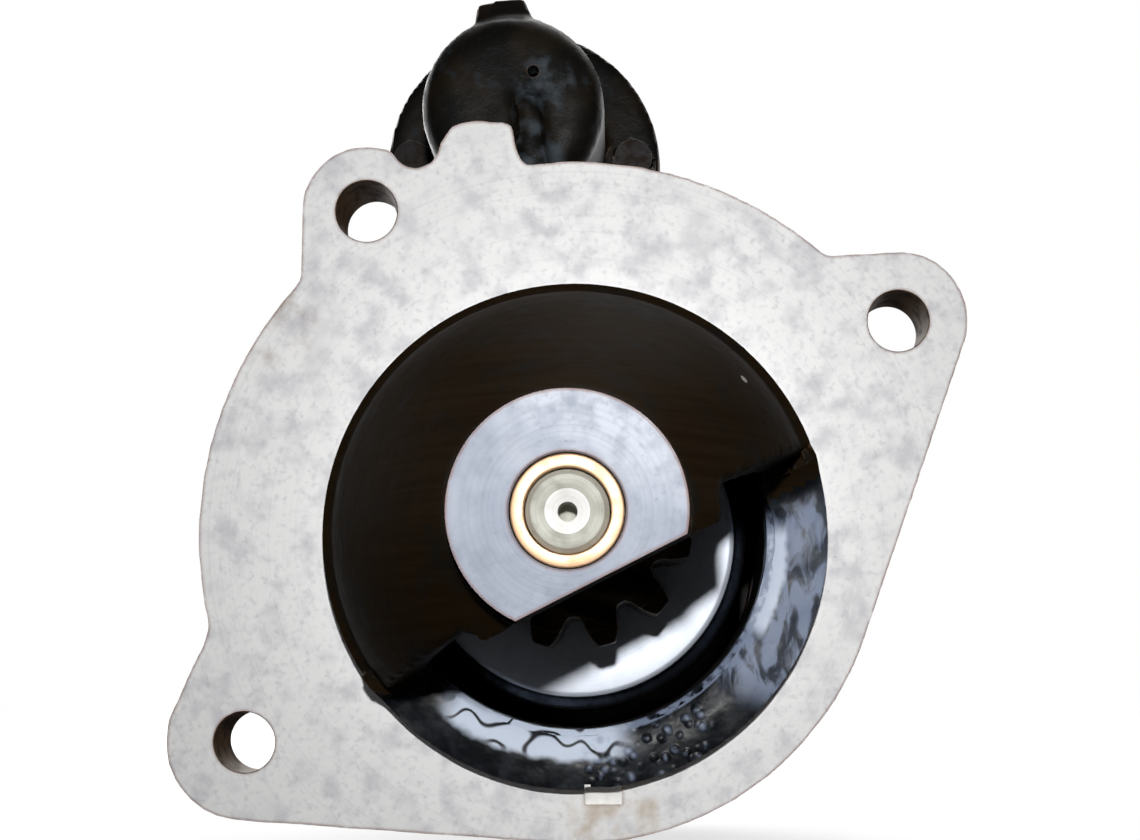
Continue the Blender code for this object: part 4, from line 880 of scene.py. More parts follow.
def flange_outline():
    """The flange's edge, anticlockwise seen from the nose, beginning at the right ear."""
    outline = arc(ear_centre("right"), EAR_RADII["right"], -20, 88, 24)
    outline += arc((0, 0), FLANGE_RADIUS, 48.5, 98.4, 30)
    bump = [(-10.4, 68.8), (-11.0, 71.6), (-11.7, 74.6)] + arc((-17.4, 60.8), 13.8, 80, 108, 8)
    outline += soften(bump + [(-23.2, 72.4), (-24.4, 70.0)], 1.2)
    outline += arc((-28.7, 70.4), 4.3, -15, -165, 12)
    outline += arc(ear_centre("upper_left"), EAR_RADII["upper_left"], 75, 182, 24)
    outline += arc((0, 0), FLANGE_RADIUS, 137, 193.5, 36)
    outline += [(-66.5, -19.0), (-68.5, -22.9)]
    outline += arc(ear_centre("lower_left"), EAR_RADII["lower_left"], 147, 268, 28)
    return outline + arc((0, 0), FLANGE_SHORT_RADIUS, 268, 340, 40)


def body_blank():
    """The turned outside of nose and barrel, solid, with stock left on what is machined."""
    boss_y = NOSE_TIP_Y + BOSS_LENGTH
    shoulder_y = -SPIGOT_HEIGHT - 1.0
    rough_boss = BOSS_RADIUS + 0.5
    rough_spigot = SPIGOT_RADIUS + STOCK
    end = BARREL_END_Y + STOCK
    profile = [(NOSE_TIP_Y - STOCK, 0), (NOSE_TIP_Y - STOCK, rough_boss), (boss_y, rough_boss)]
    for step in range(16, -1, -1):
        share = step / 16
        radius = NOSE_RADIUS - NOSE_NARROWS * share**1.7
        profile.append((shoulder_y + (boss_y - shoulder_y) * share, radius))
    profile += [(-SPIGOT_HEIGHT, rough_spigot), (6.0, rough_spigot), (20.0, 51.0)]
    profile += [(46.0, BARREL_RADIUS), (end, BARREL_RADIUS), (end, 0)]
    return turned(profile, soft=0)


def hollow():
    """What the casting's core leaves empty inside nose and barrel."""
    start_y, rough_bore, end = -2.0, BARREL_BORE - 0.8, BARREL_END_Y + 5
    profile = [(NOSE_WALL_Y, 0)]
    for step in range(12, -1, -1):
        share = step / 12
        radius = NOSE_BORE - NOSE_BORE_NARROWS * share**1.8
        profile.append((start_y + (NOSE_WALL_Y - start_y) * share, radius))
    profile += [(24.0, NOSE_BORE), (25.5, 40.0), (BARREL_BORE_Y, rough_bore)]
    return turned(profile + [(end, rough_bore), (end, 0)], soft=0)


def turret_blanks():
    """What rises from the barrel to carry the solenoid, in the upright frame."""
    front, rear, pad_rear = TURRET_FRONT_Y, PAD_FRONT_Y + 1.0, PAD_Y + STOCK
    top = SOLENOID[1] + TURRET_RADIUS
    dome = [(front, 0), (front, 12.5, 2.0), (front + 1.3, 15.6), (front + 4.0, TURRET_RADIUS)]
    pad = [(PAD_FRONT_Y, 0), (PAD_FRONT_Y, PAD_RADIUS, 1.2), (pad_rear, PAD_RADIUS), (pad_rear, 0)]
    web = [(-16, 47.5), (16, 47.5), (13, 80), (-13, 80)]
    lug = [(-5.8, top - 3), (6.5, top - 3), (5.2, top + 3.6), (-3.9, top + 3.6)]
    rib = [(0.0, 58), (5.2, 58), (4.8, 84), (0.6, 84)]
    return [turned(dome + [(rear, TURRET_RADIUS), (rear, 0)], SOLENOID), turned(pad, SOLENOID),
            extruded(web, (26.0, 55.0)), extruded(lug, (18.6, 31.2)), extruded(rib, (10.7, 17.0))]


def ear_blanks(name):
    """The seat behind one ear, and the rib that braces the ear against the barrel."""
    centre = ear_centre(name)
    seat = plug(11.0, (8, SEAT_Y + STOCK), centre, soft=0, steps=48, taper=0.8)
    end = math.hypot(*centre) - EAR_RADII[name] - 0.9
    outline = [(11.0, 40.0), (11.0, end), (13.0, end), (34.0, 49.0), (34.0, 40.0)]
    angle = math.degrees(math.atan2(centre[1], centre[0]))
    return [seat, about_shaft(across(outline, (-2.7, 2.7)), angle - 90)]


def towards_window(piece):
    """Turns a piece drawn up from the shaft so that it faces the way the window opens."""
    return moved(piece, Matrix.Rotation(math.pi / 2 - WINDOW_ANGLE, 4, "Y"))


def window_opening():
    """The opening that lets the pinion out."""
    far = 80.0
    opening = block((-far, far), (NOSE_WALL_Y - 1.0, WINDOW_FLOOR_Y), (WINDOW_DEPTH, far))
    return towards_window(moved(opening, Matrix.Rotation(WINDOW_SKEW, 4, "Y")))


def boss_flat(stock=0.0):
    """What the window's cut takes off the boss."""
    z_range = (BOSS_FLAT + stock, 40)
    return towards_window(block((-40, 40), (NOSE_TIP_Y - 4.0, NOSE_WALL_Y + 0.4), z_range))


def past_window_edge(x, z):
    """How far a point lies beyond the window's straight edge, seen from the shaft."""
    return x * math.cos(WINDOW_ANGLE) + z * math.sin(WINDOW_ANGLE) - WINDOW_DEPTH


def bracket_relief(point):
    """Sand-cast roughness everywhere. The window's floor has a sagging coat of paint, and a
    fillet where it meets the nose."""
    away = math.hypot(point.x, point.z)
    past = past_window_edge(point.x, point.z)
    if not -7.0 < point.y < -1.0 or past < -2.0 or not 32.5 < away < 46.5:
        return 0.06 * grain(point, 3.0) + 0.04 * grain(point + Vector((9, 0, 0)), 1.2)
    waves = 0.32 * noise.noise(point / 6.0) + 0.14 * noise.noise(point / 3.0)
    sag = 0.024 * max(0.0, FLOOR_CROWN - away) ** 2
    fillet = 2.2 * min(1.0, max(0.0, 1 - past / WINDOW_FILLET)) ** 2
    return waves + 0.25 - sag + fillet


def bracket_machining():
    """The cutters that finish the casting, in the square frame."""
    far = 130.0
    tip, end = NOSE_TIP_Y, BARREL_END_Y
    cutters = [
        outer_cut(SPIGOT_RADIUS, far, (-70, 0)),
        bore(40, (tip - 20, tip)),
        bore(far, (end, end + 20)),
        outer_cut(BOSS_RADIUS, far, (tip - 5, tip + BOSS_LENGTH - 1)),
        boss_flat(),
        bore(radii("nose_bush")[1] + 0.15, (tip, NOSE_WALL_Y + 3), mouth=0.25, steps=96),
        bore(BARREL_BORE, (BARREL_BORE_Y, end + 5), steps=TURNED_STEPS),
    ]
    for name in EAR_RADII:
        centre = ear_centre(name)
        cutters.append(bore(HOLE_RADIUS, (0, SEAT_Y + 5), centre, mouth=0.15, steps=72))
        cutters.append(bore(SEAT_RADIUS, (SEAT_Y, SEAT_Y + 4), centre, steps=72))
    x, z, half_width, half_height = CHIP
    cutters.append(block((x - half_width, x + half_width), (-8, CHIP_DEPTH),
                         (z - half_height, z + half_height), edge=0.4))
    return cutters + leaned(turret_machining())


def turret_machining():
    """The cutters for what the turret and the barrel carry, in the upright frame."""
    front, rear = TURRET_FRONT_Y + 4, PAD_Y + 5
    plunger_bore = [(front, 0), (front, TURRET_BORE, 1.0), (rear, TURRET_BORE), (rear, 0)]
    pad_face = bore(PAD_RADIUS + 3, (PAD_Y, PAD_Y + 8), SOLENOID, steps=72)
    cut(pad_face, block((-60, 60), (50, 80), (30, 57.2)))
    slot = block((-3.6, 3.6), (24.0, 50.0), (30.0, SOLENOID[1]), edge=0.8)
    cutters = [turned(plunger_bore, SOLENOID, soft=0), pad_face, slot,
               on_pivot(bore(4.3, (0, 60)), -30)]
    for side in (-1, 1):
        cutters.append(on_pivot(plug(9.5, (0, 20), soft=0), side * SPOT_FACE_X, side))
    for screw, bolt in zip(SOLENOID_SCREWS, THROUGH_BOLTS):
        cutters.append(bore(3.3, (52, 60), centre_of(screw)))
        cutters.append(bore(6.2, (PAD_FRONT_Y - 9.0, PAD_FRONT_Y - 0.2), centre_of(screw)))
        cutters.append(bore(BOLT_HOLE, (42, 62), (middle(bolt, 0), 0.0)))
    return cutters + [bore(1.1, (10, 20), (4.8, 89.0))]


def bracket_zones(bracket):
    """Which look each stretch of the bracket takes, by where it is and which way it faces."""
    x, y, z, nx, ny, nz = faces_of(bracket)
    away = np.hypot(x, z)
    outward = x * nx + z * nz > -0.2 * away
    on_nose = (y < -2.0) & outward & (away < SPIGOT_RADIUS + 0.5)
    on_floor = (y > -7) & (y < 5) & (away > NOSE_BORE - 2.5) & (away < SPIGOT_RADIUS - 0.05)
    on_floor &= past_window_edge(x, z) > 3.0
    flat = np.zeros(len(x), bool)
    for face_y in (0.0, SEAT_Y, BARREL_END_Y, PAD_Y):
        flat |= np.abs(y - face_y) < FLUSH
    flat &= np.abs(ny) > 0.95
    spigot = (np.abs(away - SPIGOT_RADIUS + 0.05) < 0.1) & (y < 0) & (np.abs(ny) < 0.2)
    on_boss = (np.abs(y - NOSE_TIP_Y) < FLUSH) | (y < NOSE_TIP_Y + 0.3) & (ny < -0.5)
    in_hole = np.zeros(len(x), bool)
    for hole_x, hole_z in map(ear_centre, EAR_RADII):
        in_hole |= np.hypot(x - hole_x, z - hole_z) < HOLE_RADIUS + 0.3
    in_hole &= np.abs(ny) < 0.9
    in_chip = (np.abs(x - CHIP[0]) < CHIP[2] + 0.1) & (np.abs(z - CHIP[1]) < CHIP[3] + 0.1)
    in_chip &= (y > -4.1) & (y < CHIP_DEPTH + 0.1)
    return [("nose_paint", on_nose), ("pooled_paint", on_floor), ("flange_face", flat | spigot),
            ("boss_face", on_boss), ("hole_rust", in_hole), ("bright_cut", in_chip)]


def make_drive_end_bracket():
    blanks = [extruded(flange_outline(), (-STOCK, FLANGE_BACK_Y))] + leaned(turret_blanks())
    for name in EAR_RADII:
        blanks += ear_blanks(name)
    for node in THROUGH_BOLTS:
        lug = [(34, 0), (40, 7.4), (57, 7.4), (57, 0)]
        blanks += leaned([turned(lug, (middle(node, 0), 0.0), soft=0, steps=48)])
    bracket = join(body_blank(), *blanks)
    cut(bracket, hollow(), window_opening(), boss_flat(stock=0.6))
    cut(cast(bracket, bracket_relief), *bracket_machining())
    zoned(bracket, "casting_paint", bracket_zones(bracket))
    placed(bracket, "drive_end_bracket", TO_FRAME_SQUARE)


# ---- bearings and drive -------------------------------------------------------------------------
JOURNAL = 6.35
SPLINES = 8
SPLINE_ROOT = 8.3
SPLINE_TIP = 9.4
PINION_TEETH = 11


def make_armature_shaft():
    y0, y1 = span("armature_shaft")
    profile = [(y0, 0), (y0, 5.6), (y0 + 0.8, JOURNAL), (24.0, JOURNAL)]
    profile += [(24.0, SPLINE_ROOT), (55.4, SPLINE_ROOT), (55.4, 9.0), (74.0, 9.0), (74.0, 9.7)]
    profile += [(192.0, 9.7, 0.6), (192.0, JOURNAL), (y1, JOURNAL, 0.8), (y1, 0)]
    corners = [(7.0, 0.26), (SPLINE_TIP, 0.30), (SPLINE_TIP, 0.70), (7.0, 0.74)]
    splines = extruded(soften(toothed(SPLINES, corners), 0.3, closed=True), (25.0, 55.0), 0.3)
    drill = [(y0 - 0.4, 0), (y0 - 0.4, 4.2), (y0 + 1.0, 1.5), (y0 + 5.7, 1.5), (y0 + 6.2, 0)]
    shaft = join(turned(profile, soft=0.15), splines)
    cut(shaft, turned(drill, soft=0, steps=64))
    x, y, z = faces_of(shaft)[:3]
    zoned(shaft, "shaft_steel", [("bright_cut", (y < y0 + 1.1) & (np.hypot(x, z) < 3.5))])
    placed(shaft, "armature_shaft")


def make_thrust_collar():
    y0, y1 = span("thrust_collar")
    inner, outer = radii("thrust_collar")
    profile = [(y0, inner), (y0, outer - 0.6), (y0 + 0.8, outer), (y1, outer), (y1, inner)]
    finished(turned(profile, soft=0.3), "thrust_collar", "steel", "oiled_steel")


def make_pinion():
    """Involute-like teeth with their front corners turned off, and the race behind them."""
    front = span("pinion")[0]
    inner = radii("pinion")[0]
    flank = [(14.6, 0.08), (15.3, 0.155), (16.2, 0.195), (17.2, 0.230), (18.1, 0.270),
             (19.1, 0.320), (20.0, 0.375)]
    corners = flank + [(radius, 1.0 - share) for radius, share in reversed(flank)]
    teeth = extruded(soften(toothed(PINION_TEETH, corners), 0.35, closed=True), (front, 0.0), 0.22)
    lead = [(front - 1, 0), (front - 1, 16.6), (front + 0.2, 17.6), (front + 2.6, 21.0), (2, 21.0),
            (2, 0)]
    common(teeth, turned(lead, soft=0.4))
    hole = [(front - 2, 0), (front - 2, inner + 1.6), (front + 0.6, inner), (25, inner), (25, 0)]
    pinion = join(teeth, plug(13.9, (-3, 22.6)))
    finished(cut(pinion, turned(hole, soft=0, steps=64)), "pinion", "oiled_steel", "pinion_steel")


def make_clutch_housing():
    """The clutch's spun shell, its rim rolled over the front disc, and its splined sleeve."""
    y0, y1 = span("clutch_housing")
    rim = radii("clutch_housing")[1]
    profile = [(y0, 14.4), (y0, 27.6), (y0 + 0.7, 28.3, 0.5), (3.2, 28.3, 0.9), (4.6, rim, 1.2)]
    profile += [(20.3, rim, 0.3), (20.9, rim - 0.5, 0.3), (21.7, rim - 0.5, 0.3), (22.3, rim, 0.3)]
    profile += [(23.6, rim, 1.4), (25.0, rim - 1.5, 0.8), (25.0, 15.0, 0.8), (26.5, 13.0, 0.8)]
    profile += [(y1, 13.0), (y1, 10.4), (23.2, 10.4), (23.2, 22.0), (3.2, 22.0), (3.2, 14.4)]
    root, tip = 11.5, SPLINE_ROOT + 0.45
    corners = toothed(SPLINES, [(root, 0.82), (tip, 0.84), (tip, 1.16), (root, 1.18)])
    keys = [extruded(corners[first:first + 4], (40.0, 53.0), 0.15)
            for first in range(0, len(corners), 4)]
    housing = join(turned(profile, soft=0.3), *keys)
    y, ny = faces_of(housing)[1::3]
    zoned(housing, "clutch_shell", [("zinc_face", (y < y0 + 0.5) & (ny < -0.6))])
    placed(housing, "clutch_housing")


def make_operating_ring():
    y0, y1 = span("operating_ring")
    inner, outer = radii("operating_ring")
    wall, groove = 2.4, 17.2
    profile = [(y0, inner), (y0, outer), (y0 + wall, outer), (y0 + wall, groove, 0.8)]
    profile += [(y1 - wall, groove, 0.8), (y1 - wall, outer), (y1, outer), (y1, inner)]
    finished(turned(profile), "operating_ring", "steel")


def make_lock_ring():
    """A snap ring, round in section and split."""
    node = "sleeve_lock_ring"
    y0, y1 = span(node)
    inner, outer = radii(node)
    split = block((-0.7, 0.7), (y0 - 1, y1 + 1), (-outer - 2, -inner + 1))
    finished(cut(tube(node, 0.8, soft=0.8), split), node, "spring_steel")


# ---- motor body ---------------------------------------------------------------------------------
def bolt_holes(y_range):
    return [bore(BOLT_HOLE, y_range, centre_of(node)) for node in THROUGH_BOLTS]


def make_intermediate_bracket():
    hub, hole, rib, edge, spigot = 14.0, 12.0, 36.0, 45.5, 51.7
    profile = [(57.0, hole), (57.0, hub), (60.3, hub, 0.8), (60.3, rib), (57.5, rib), (57.5, edge)]
    profile += [(60.3, edge), (60.3, 56.5, 0.9), (65.7, 56.5, 0.9), (65.7, spigot), (68.0, spigot)]
    profile += [(68.0, 48.0), (65.7, 48.0), (65.7, hub, 0.8), (70.0, hub), (70.0, hole)]
    plate = cut(turned(profile), *bolt_holes((50, 75)))
    finished(plate, "intermediate_bracket", "black_paint", "casting_paint")


def make_yoke():
    """Rolled tube with a flattened weld along it, brush windows and countersunk pole screws."""
    y0, y1 = span("yoke")
    inner, outer = 52.0, radii("yoke")[1]
    shell = turned([(y0, inner), (y0, outer, 0.6), (y1, outer, 0.6), (y1, inner)], longest=7.0)
    weld = [(outer - 1, -2.0), (outer - 0.02, -1.7), (outer + 0.28, -0.8), (outer + 0.28, 0.8),
            (outer - 0.02, 1.7), (outer - 1, 2.0)]
    join(shell, about_shaft(extruded(weld, (y0 + 1.5, y1 - 31), 0.2), 205))
    cutters = [radial(bore(6.0, (45, 62), steps=48), 90, middle("field_terminal_stud", 1))]
    sink = [(40, 0), (40, 4.8), (52.9, 4.8), (57.2, 8.6), (60, 8.6), (60, 0)]
    for angle in POLES:
        window = broken_edges(block((45, 70), (174, 190), (-13, 13)), 3.0, 5, only_along_x=True)
        cutters.append(about_shaft(window, angle))
        cutters.append(radial(turned(sink, soft=0, steps=64), angle, middle("pole_screw_1", 1)))
    finished(cut(shell, *cutters), "yoke", "black_paint", "enamel")


def make_pole_screw(node):
    y = middle(node, 1)
    top = 56.8
    head = [(42.5, 0), (42.5, 4.1), (53.4, 4.1), (top - 0.3, 7.6, 0.2), (top, 7.1, 0.3), (top, 0)]
    screw = radial(turned(head, soft=0.3, steps=72), 0, y)
    cut(screw, block((top - 1.8, 60), (y - 0.9, y + 0.9), (-10, 10), edge=0.1))
    finished(about_shaft(screw, direction_of(node)), node, "steel", "black_oxide")


def make_commutator_end_bracket():
    """Cast rear cover: ribs from its boss, seats for the bolts, posts and a spigot inside."""
    node = "commutator_end_bracket"
    y1 = span(node)[1]
    outer = radii(node)[1]
    rim_y = 200.3
    rough_y = rim_y - 1.0
    cover_y = span(THROUGH_BOLTS[0])[1] - 5.8
    centres = [centre_of(bolt) for bolt in THROUGH_BOLTS]
    profile = [(rough_y, 0), (rough_y, outer), (204.5, outer), (207.0, outer - 2.5), (207.0, 24.0)]
    profile += [(210.0, 17.0), (y1 - 1.5, 15.0), (y1, 13.0), (y1, 0)]
    rib = [(204.0, 10.0), (204.0, 50.0), (208.0, 50.0), (214.5, 20.0), (214.5, 10.0)]
    blanks = [about_shaft(across(rib, (-1.7, 1.7)), angle - 90) for angle in POLES]
    blanks += [plug(9.2, (203, 207.8), centre, steps=48, taper=0.6) for centre in centres]
    cover = join(turned(profile, soft=0.4), *blanks)
    cast(cover, lambda point: 0.06 * grain(point, 2.6))
    inside = [(195, 0), (195, 60), (rim_y, 60), (rim_y, 48.0), (203.0, 46.0, 1.0),
              (203.0, 14.0, 1.0), (199, 14.0), (199, 0)]
    seats = [bore(8.2, (cover_y, cover_y + 5), centre, steps=48) for centre in centres]
    cut(cover, turned(inside, soft=0), *seats)
    spigot = turned([(197.0, 42.0), (197.0, 51.7), (202.0, 51.7), (203.6, 47.0), (203.6, 42.0)])
    posts = [plug(3.0, (194.8, 204), place, steps=24) for place in arc((0, 0), 33.5, 0, 270, 3)]
    join(cover, spigot, plug(14.0, (196.5, 205.0)), *posts)
    cut(cover, bore(9.3, (190, 218.5), steps=64), *bolt_holes((190, 215)))
    finished(cover, node, "black_paint", "casting_paint")


def make_through_bolt(node):
    """Long bolt with a spring washer under its head and a thread at its far end."""
    centre = centre_of(node)
    front, rear = span(node)
    head_y = rear - 5.5
    radius = 3.1
    shank = plug(radius, (62.0, head_y + 2), centre, steps=SMALL_STEPS)
    washer = plug(7.2, (head_y, head_y + 1.2), centre, soft=0.3, steps=48)
    head = hexagon_head(6.3, (head_y + 1.0, rear), centre)
    bolt = join(shank, threaded((front, 63.0), radius, 1.0, centre), washer, head)
    finished(bolt, node, "zinc_plate")


def make_cover_band():
    """Split band with a bead rolled round it near each edge, and two bent ears underneath."""
    node = "cover_band"
    y0, y1 = span(node)
    low = span(node, axis=2)[0]
    inner, flat, bead = 57.4, 58.4, 59.0
    profile = [(y0, inner), (y0, flat)]
    for bead_y in (y0 + 2.8, y1 - 2.8):
        profile += [(bead_y - 1.4, flat, 0.5), (bead_y - 0.5, bead, 0.5)]
        profile += [(bead_y + 0.5, bead, 0.5), (bead_y + 1.4, flat, 0.5)]
    band = turned(profile + [(y1, flat), (y1, inner)], soft=0.25)
    outline = [(176.0, -57.7), (176.0, low, 3.0), (189.0, low, 3.0), (189.0, -57.7)]
    outline = soften(outline, 0, closed=True, steps=6)
    join(band, *[across(outline, x_range, 0.25) for x_range in ((-4.6, -3.0), (3.0, 4.6))])
    screw = (0, middle("cover_band_screw", 1), middle("cover_band_screw", 2))
    hole = aimed(bore(2.8, (-10, 10)), (1, 0, 0), screw)
    cut(band, block((-2.9, 2.9), (160, 200), (-75, -50)), hole)
    finished(band, node, "black_paint", "enamel")


def make_cover_band_screw():
    """Slotted cheese-head screw with a square nut."""
    node = "cover_band_screw"
    start, end = span(node, axis=0)
    head = [(start, 0), (start, 4.4, 0.7), (start + 3.8, 4.4), (start + 3.8, 0)]
    nut = block((-3.6, 3.6), (4.9, 8.1), (-3.6, 3.6), edge=0.4)
    screw = join(turned(head, steps=48), threaded((start + 3.0, end), 2.4, 0.8), nut)
    cut(screw, block((-6, 6), (start - 2, start + 1.4), (-0.6, 0.6)))
    finished(aimed(screw, (1, 0, 0), (0, middle(node, 1), middle(node, 2))), node, "zinc_plate")


# ---- solenoid and terminals ---------------------------------------------------------------------
STUD = 4.0
STUD_HOLE = 4.3
TERMINALS = ("battery_terminal", "motor_terminal")


def terminal_centre(node):
    return SOLENOID[0], middle(node, 2)


def make_solenoid_body():
    """Drawn can, its rear edge rolled in over the cap, on a plate trimmed to clear the yoke."""
    front, rear = span("solenoid_body")
    radius, inner, plate, hole = 26.5, 24.6, 28.4, 11.0
    waist = radius - 0.7
    profile = [(front, hole), (front, plate), (front + 5.0, plate), (front + 5.6, radius, 0.8)]
    profile += [(rear - 7.0, radius, 0.5), (rear - 6.4, waist, 0.4), (rear - 5.4, waist, 0.4)]
    profile += [(rear - 4.8, radius, 0.5), (rear - 2.0, radius, 1.2), (rear, radius - 1.2)]
    profile += [(rear, inner), (front + 6.0, inner), (front + 6.0, hole)]
    holes = [bore(3.1, (front - 5, front + 4.5), centre_of(node)) for node in SOLENOID_SCREWS]
    trim = block((-40, 40), (front - 1, front + 8), (40, 57.6))
    body = cut(turned(profile, SOLENOID, longest=8.0), trim, *holes)
    finished(body, "solenoid_body", "black_paint", "enamel")


def make_solenoid_cap():
    """Moulded cover: a collar round each terminal, a wall between them and a slit for the blade."""
    front = span("solenoid_body")[1] + 0.7
    rear = span("solenoid_cap")[1]
    profile = [(128.0, 0), (128.0, 20.0), (front - 2.9, 22.0), (front - 2.9, 24.2), (front, 24.2)]
    profile += [(front, 25.6, 0.3), (front + 1.2, 25.6, 0.5), (front + 2.0, 25.0, 0.5)]
    profile += [(rear - 4.5, 23.6, 1.5), (rear - 1.5, 21.0, 1.5), (rear - 1.5, 0)]
    collar = [(rear - 4, 0), (rear - 4, 8.6), (rear - 1.5, 8.4, 0.6), (rear, 7.8, 0.3), (rear, 0)]
    centres = [terminal_centre(f"{name}_stud") for name in TERMINALS]
    wall_z = SOLENOID[1] - 0.5
    wall = block((-11, 11), (rear - 4, rear + 3.5), (wall_z - 1.1, wall_z + 1.1), edge=0.4)
    collars = [turned(collar, centre, steps=72) for centre in centres]
    cap = join(turned(profile, SOLENOID), *collars, wall)
    blade_x = middle("switch_blade", 0)
    slit = block((blade_x - 0.7, blade_x + 0.7), (126, rear + 2),
                 (SOLENOID[1] - 3.5, SOLENOID[1] + 3.5))
    holes = [bore(STUD_HOLE, (120, rear + 2), centre, steps=48) for centre in centres]
    finished(cut(cap, *holes, slit), "solenoid_cap", "moulding", "phenolic")


def make_terminal_stud(node):
    centre = terminal_centre(node)
    inner, tip = span(node)
    head = plug(6.8, (inner, inner + 3), centre, steps=64)
    shank = plug(STUD, (inner + 2, 135), centre, steps=SMALL_STEPS)
    finished(join(head, shank, threaded((134.5, tip), STUD, 1.25, centre)), node, "copper")


def nut_with_washer(radius, hole, y_range, centre=(0.0, 0.0)):
    """A chamfered nut that stands on a flat washer."""
    y0, y1 = y_range
    washer = plug(radius + 0.2, (y0, y0 + 1.1), centre, soft=0.25, steps=64)
    nut = join(hexagon_head(radius, (y0 + 0.9, y1), centre, both_ends=True), washer)
    countersunk = [(y0 - 1, 0), (y0 - 1, hole), (y1 - 0.6, hole), (y1 + 1, hole + 1.6), (y1 + 1, 0)]
    return cut(nut, turned(countersunk, centre, soft=0, steps=48))


def make_terminal_nut(node):
    finished(nut_with_washer(7.5, STUD_HOLE, span(node), centre_of(node)), node, "brass")


def make_switch_blade():
    node = "switch_blade"
    y0, y1 = span(node)
    half = 3.15
    z = SOLENOID[1]
    outline = [(y0, z - half), (y1 - 1, z - half, 1.4), (y1, z, 3.0), (y1 - 1, z + half, 1.4),
               (y0, z + half)]
    blade = across(soften(outline, 0.1, closed=True, steps=5), span(node, axis=0), 0.15)
    finished(cut(blade, aimed(bore(0.9, (0, 10)), (1, 0, 0), (10, 141.5, z))), node, "brass")


def make_terminal_link():
    """Copper strap bent from the motor terminal down to the field terminal, its top rounded."""
    node = "terminal_link"
    y0, y1 = span(node)
    low, high = span(node, axis=2)
    thick = 2.0
    half = 6.5
    upper_z = middle("motor_terminal_stud", 2)
    outline = [(y0, low, 2.6), (y1, low), (y1, low + thick), (y0 + thick, low + thick, 1.2),
               (y0 + thick, high), (y0, high)]
    strap = across(soften(outline, 0.1, closed=True, steps=6), (-half, half), 0.3)
    round_top = arc((0, upper_z), half + 0.6, 5, 175, 16) + [(-9, low - 2), (9, low - 2)]
    common(strap, extruded(round_top, (y0 - 2, y1 + 2)))
    foot_hole = radial(bore(4.1, (50, 70), steps=48), 90, middle("field_terminal_stud", 1))
    cut(strap, bore(STUD_HOLE, (130, 145), (0, upper_z), steps=48), foot_hole)
    finished(strap, node, "copper")


def make_field_terminal():
    y = middle("field_terminal_stud", 1)
    top = span("field_terminal_stud", axis=2)[1]
    head = [(43.6, 0), (43.6, 7.0), (47.0, 7.0), (47.0, 3.8), (62.5, 3.8), (62.5, 0)]
    stud = join(turned(head, steps=48), threaded((62.0, top), 3.8, 1.25))
    collar = [(47.4, 4.1), (47.4, 5.6), (57.3, 5.6), (57.3, 8.5, 0.4), (58.6, 8.5, 0.4),
              (61.2, 8.0), (61.2, 4.1)]
    bush = turned(collar, steps=64)
    nut = nut_with_washer(7.2, 4.1, span("field_terminal_nut", axis=2))
    finished(radial(stud, 90, y), "field_terminal_stud", "brass")
    finished(radial(bush, 90, y), "field_terminal_bush", "moulding", "phenolic")
    finished(radial(nut, 90, y), "field_terminal_nut", "brass")


def make_solenoid_screw(node):
    """Hexagon-head screw on a spring washer."""
    x, z = centre_of(node)
    head_y, tip = span(node)
    washer_y = head_y + 3.4
    washer = plug(4.75, (washer_y, washer_y + 1.2), (x, z), soft=0.25, steps=48)
    cut(washer, block((x, x + 6), (washer_y - 1, washer_y + 2), (z - 0.3, z + 0.3)))
    shank = [(washer_y - 1, 0), (washer_y - 1, 2.75), (tip, 2.75, 0.6), (tip, 0)]
    head = hexagon_head(4.5, (-washer_y - 0.4, -head_y), (-x, z))
    moved(head, Matrix.Rotation(math.pi, 4, "Z"))
    screw = join(washer, turned(shank, (x, z), steps=SMALL_STEPS), head)
    finished(screw, node, "zinc_plate", "black_oxide")


def make_pivot():
    start, end = span("pivot_pin", axis=0)
    head = [(start, 0), (start, 6.6, 0.7), (start + 5.1, 6.6), (start + 5.1, 4.0), (15.0, 4.0),
            (15.0, 0)]
    pin = join(turned(head, steps=64), threaded((14.5, end), 4.0, 1.25))
    cut(pin, block((-10, 10), (start - 4, start + 1.8), (-0.8, 0.8)))
    finished(on_pivot(pin), "pivot_pin", "zinc_plate")
    nut = nut_with_washer(6.4, STUD_HOLE, span("pivot_nut", axis=0))
    finished(on_pivot(nut), "pivot_nut", "zinc_plate")


def make_return_spring():
    """A coil of spring wire about the solenoid's line. It can't ride on either body, and is given a mesh of its
    own.
    """
    y0, y1 = span("return_spring")
    spring = coil(11.0, 0.7, (y0, y1), 5.5, SOLENOID)
    finished(spring, "return_spring", "spring_steel")
    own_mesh(spring)


make_drive_end_bracket()
for bush_node in ("nose_bush", "intermediate_bush", "commutator_end_bush"):
    finished(tube(bush_node, 0.6), bush_node, "bronze")
make_armature_shaft()
make_thrust_collar()
make_pinion()
make_clutch_housing()
make_operating_ring()
make_lock_ring()
make_intermediate_bracket()
make_yoke()
for number in (1, 2, 3, 4):
    make_pole_screw(f"pole_screw_{number}")
make_commutator_end_bracket()
for bolt_node, screw_node in zip(THROUGH_BOLTS, SOLENOID_SCREWS):
    make_through_bolt(bolt_node)
    make_solenoid_screw(screw_node)
make_cover_band()
make_cover_band_screw()
make_solenoid_body()
make_solenoid_cap()
for terminal in TERMINALS:
    make_terminal_stud(f"{terminal}_stud")
    make_terminal_nut(f"{terminal}_nut")
make_switch_blade()
make_terminal_link()
make_field_terminal()
make_pivot()
make_return_spring()


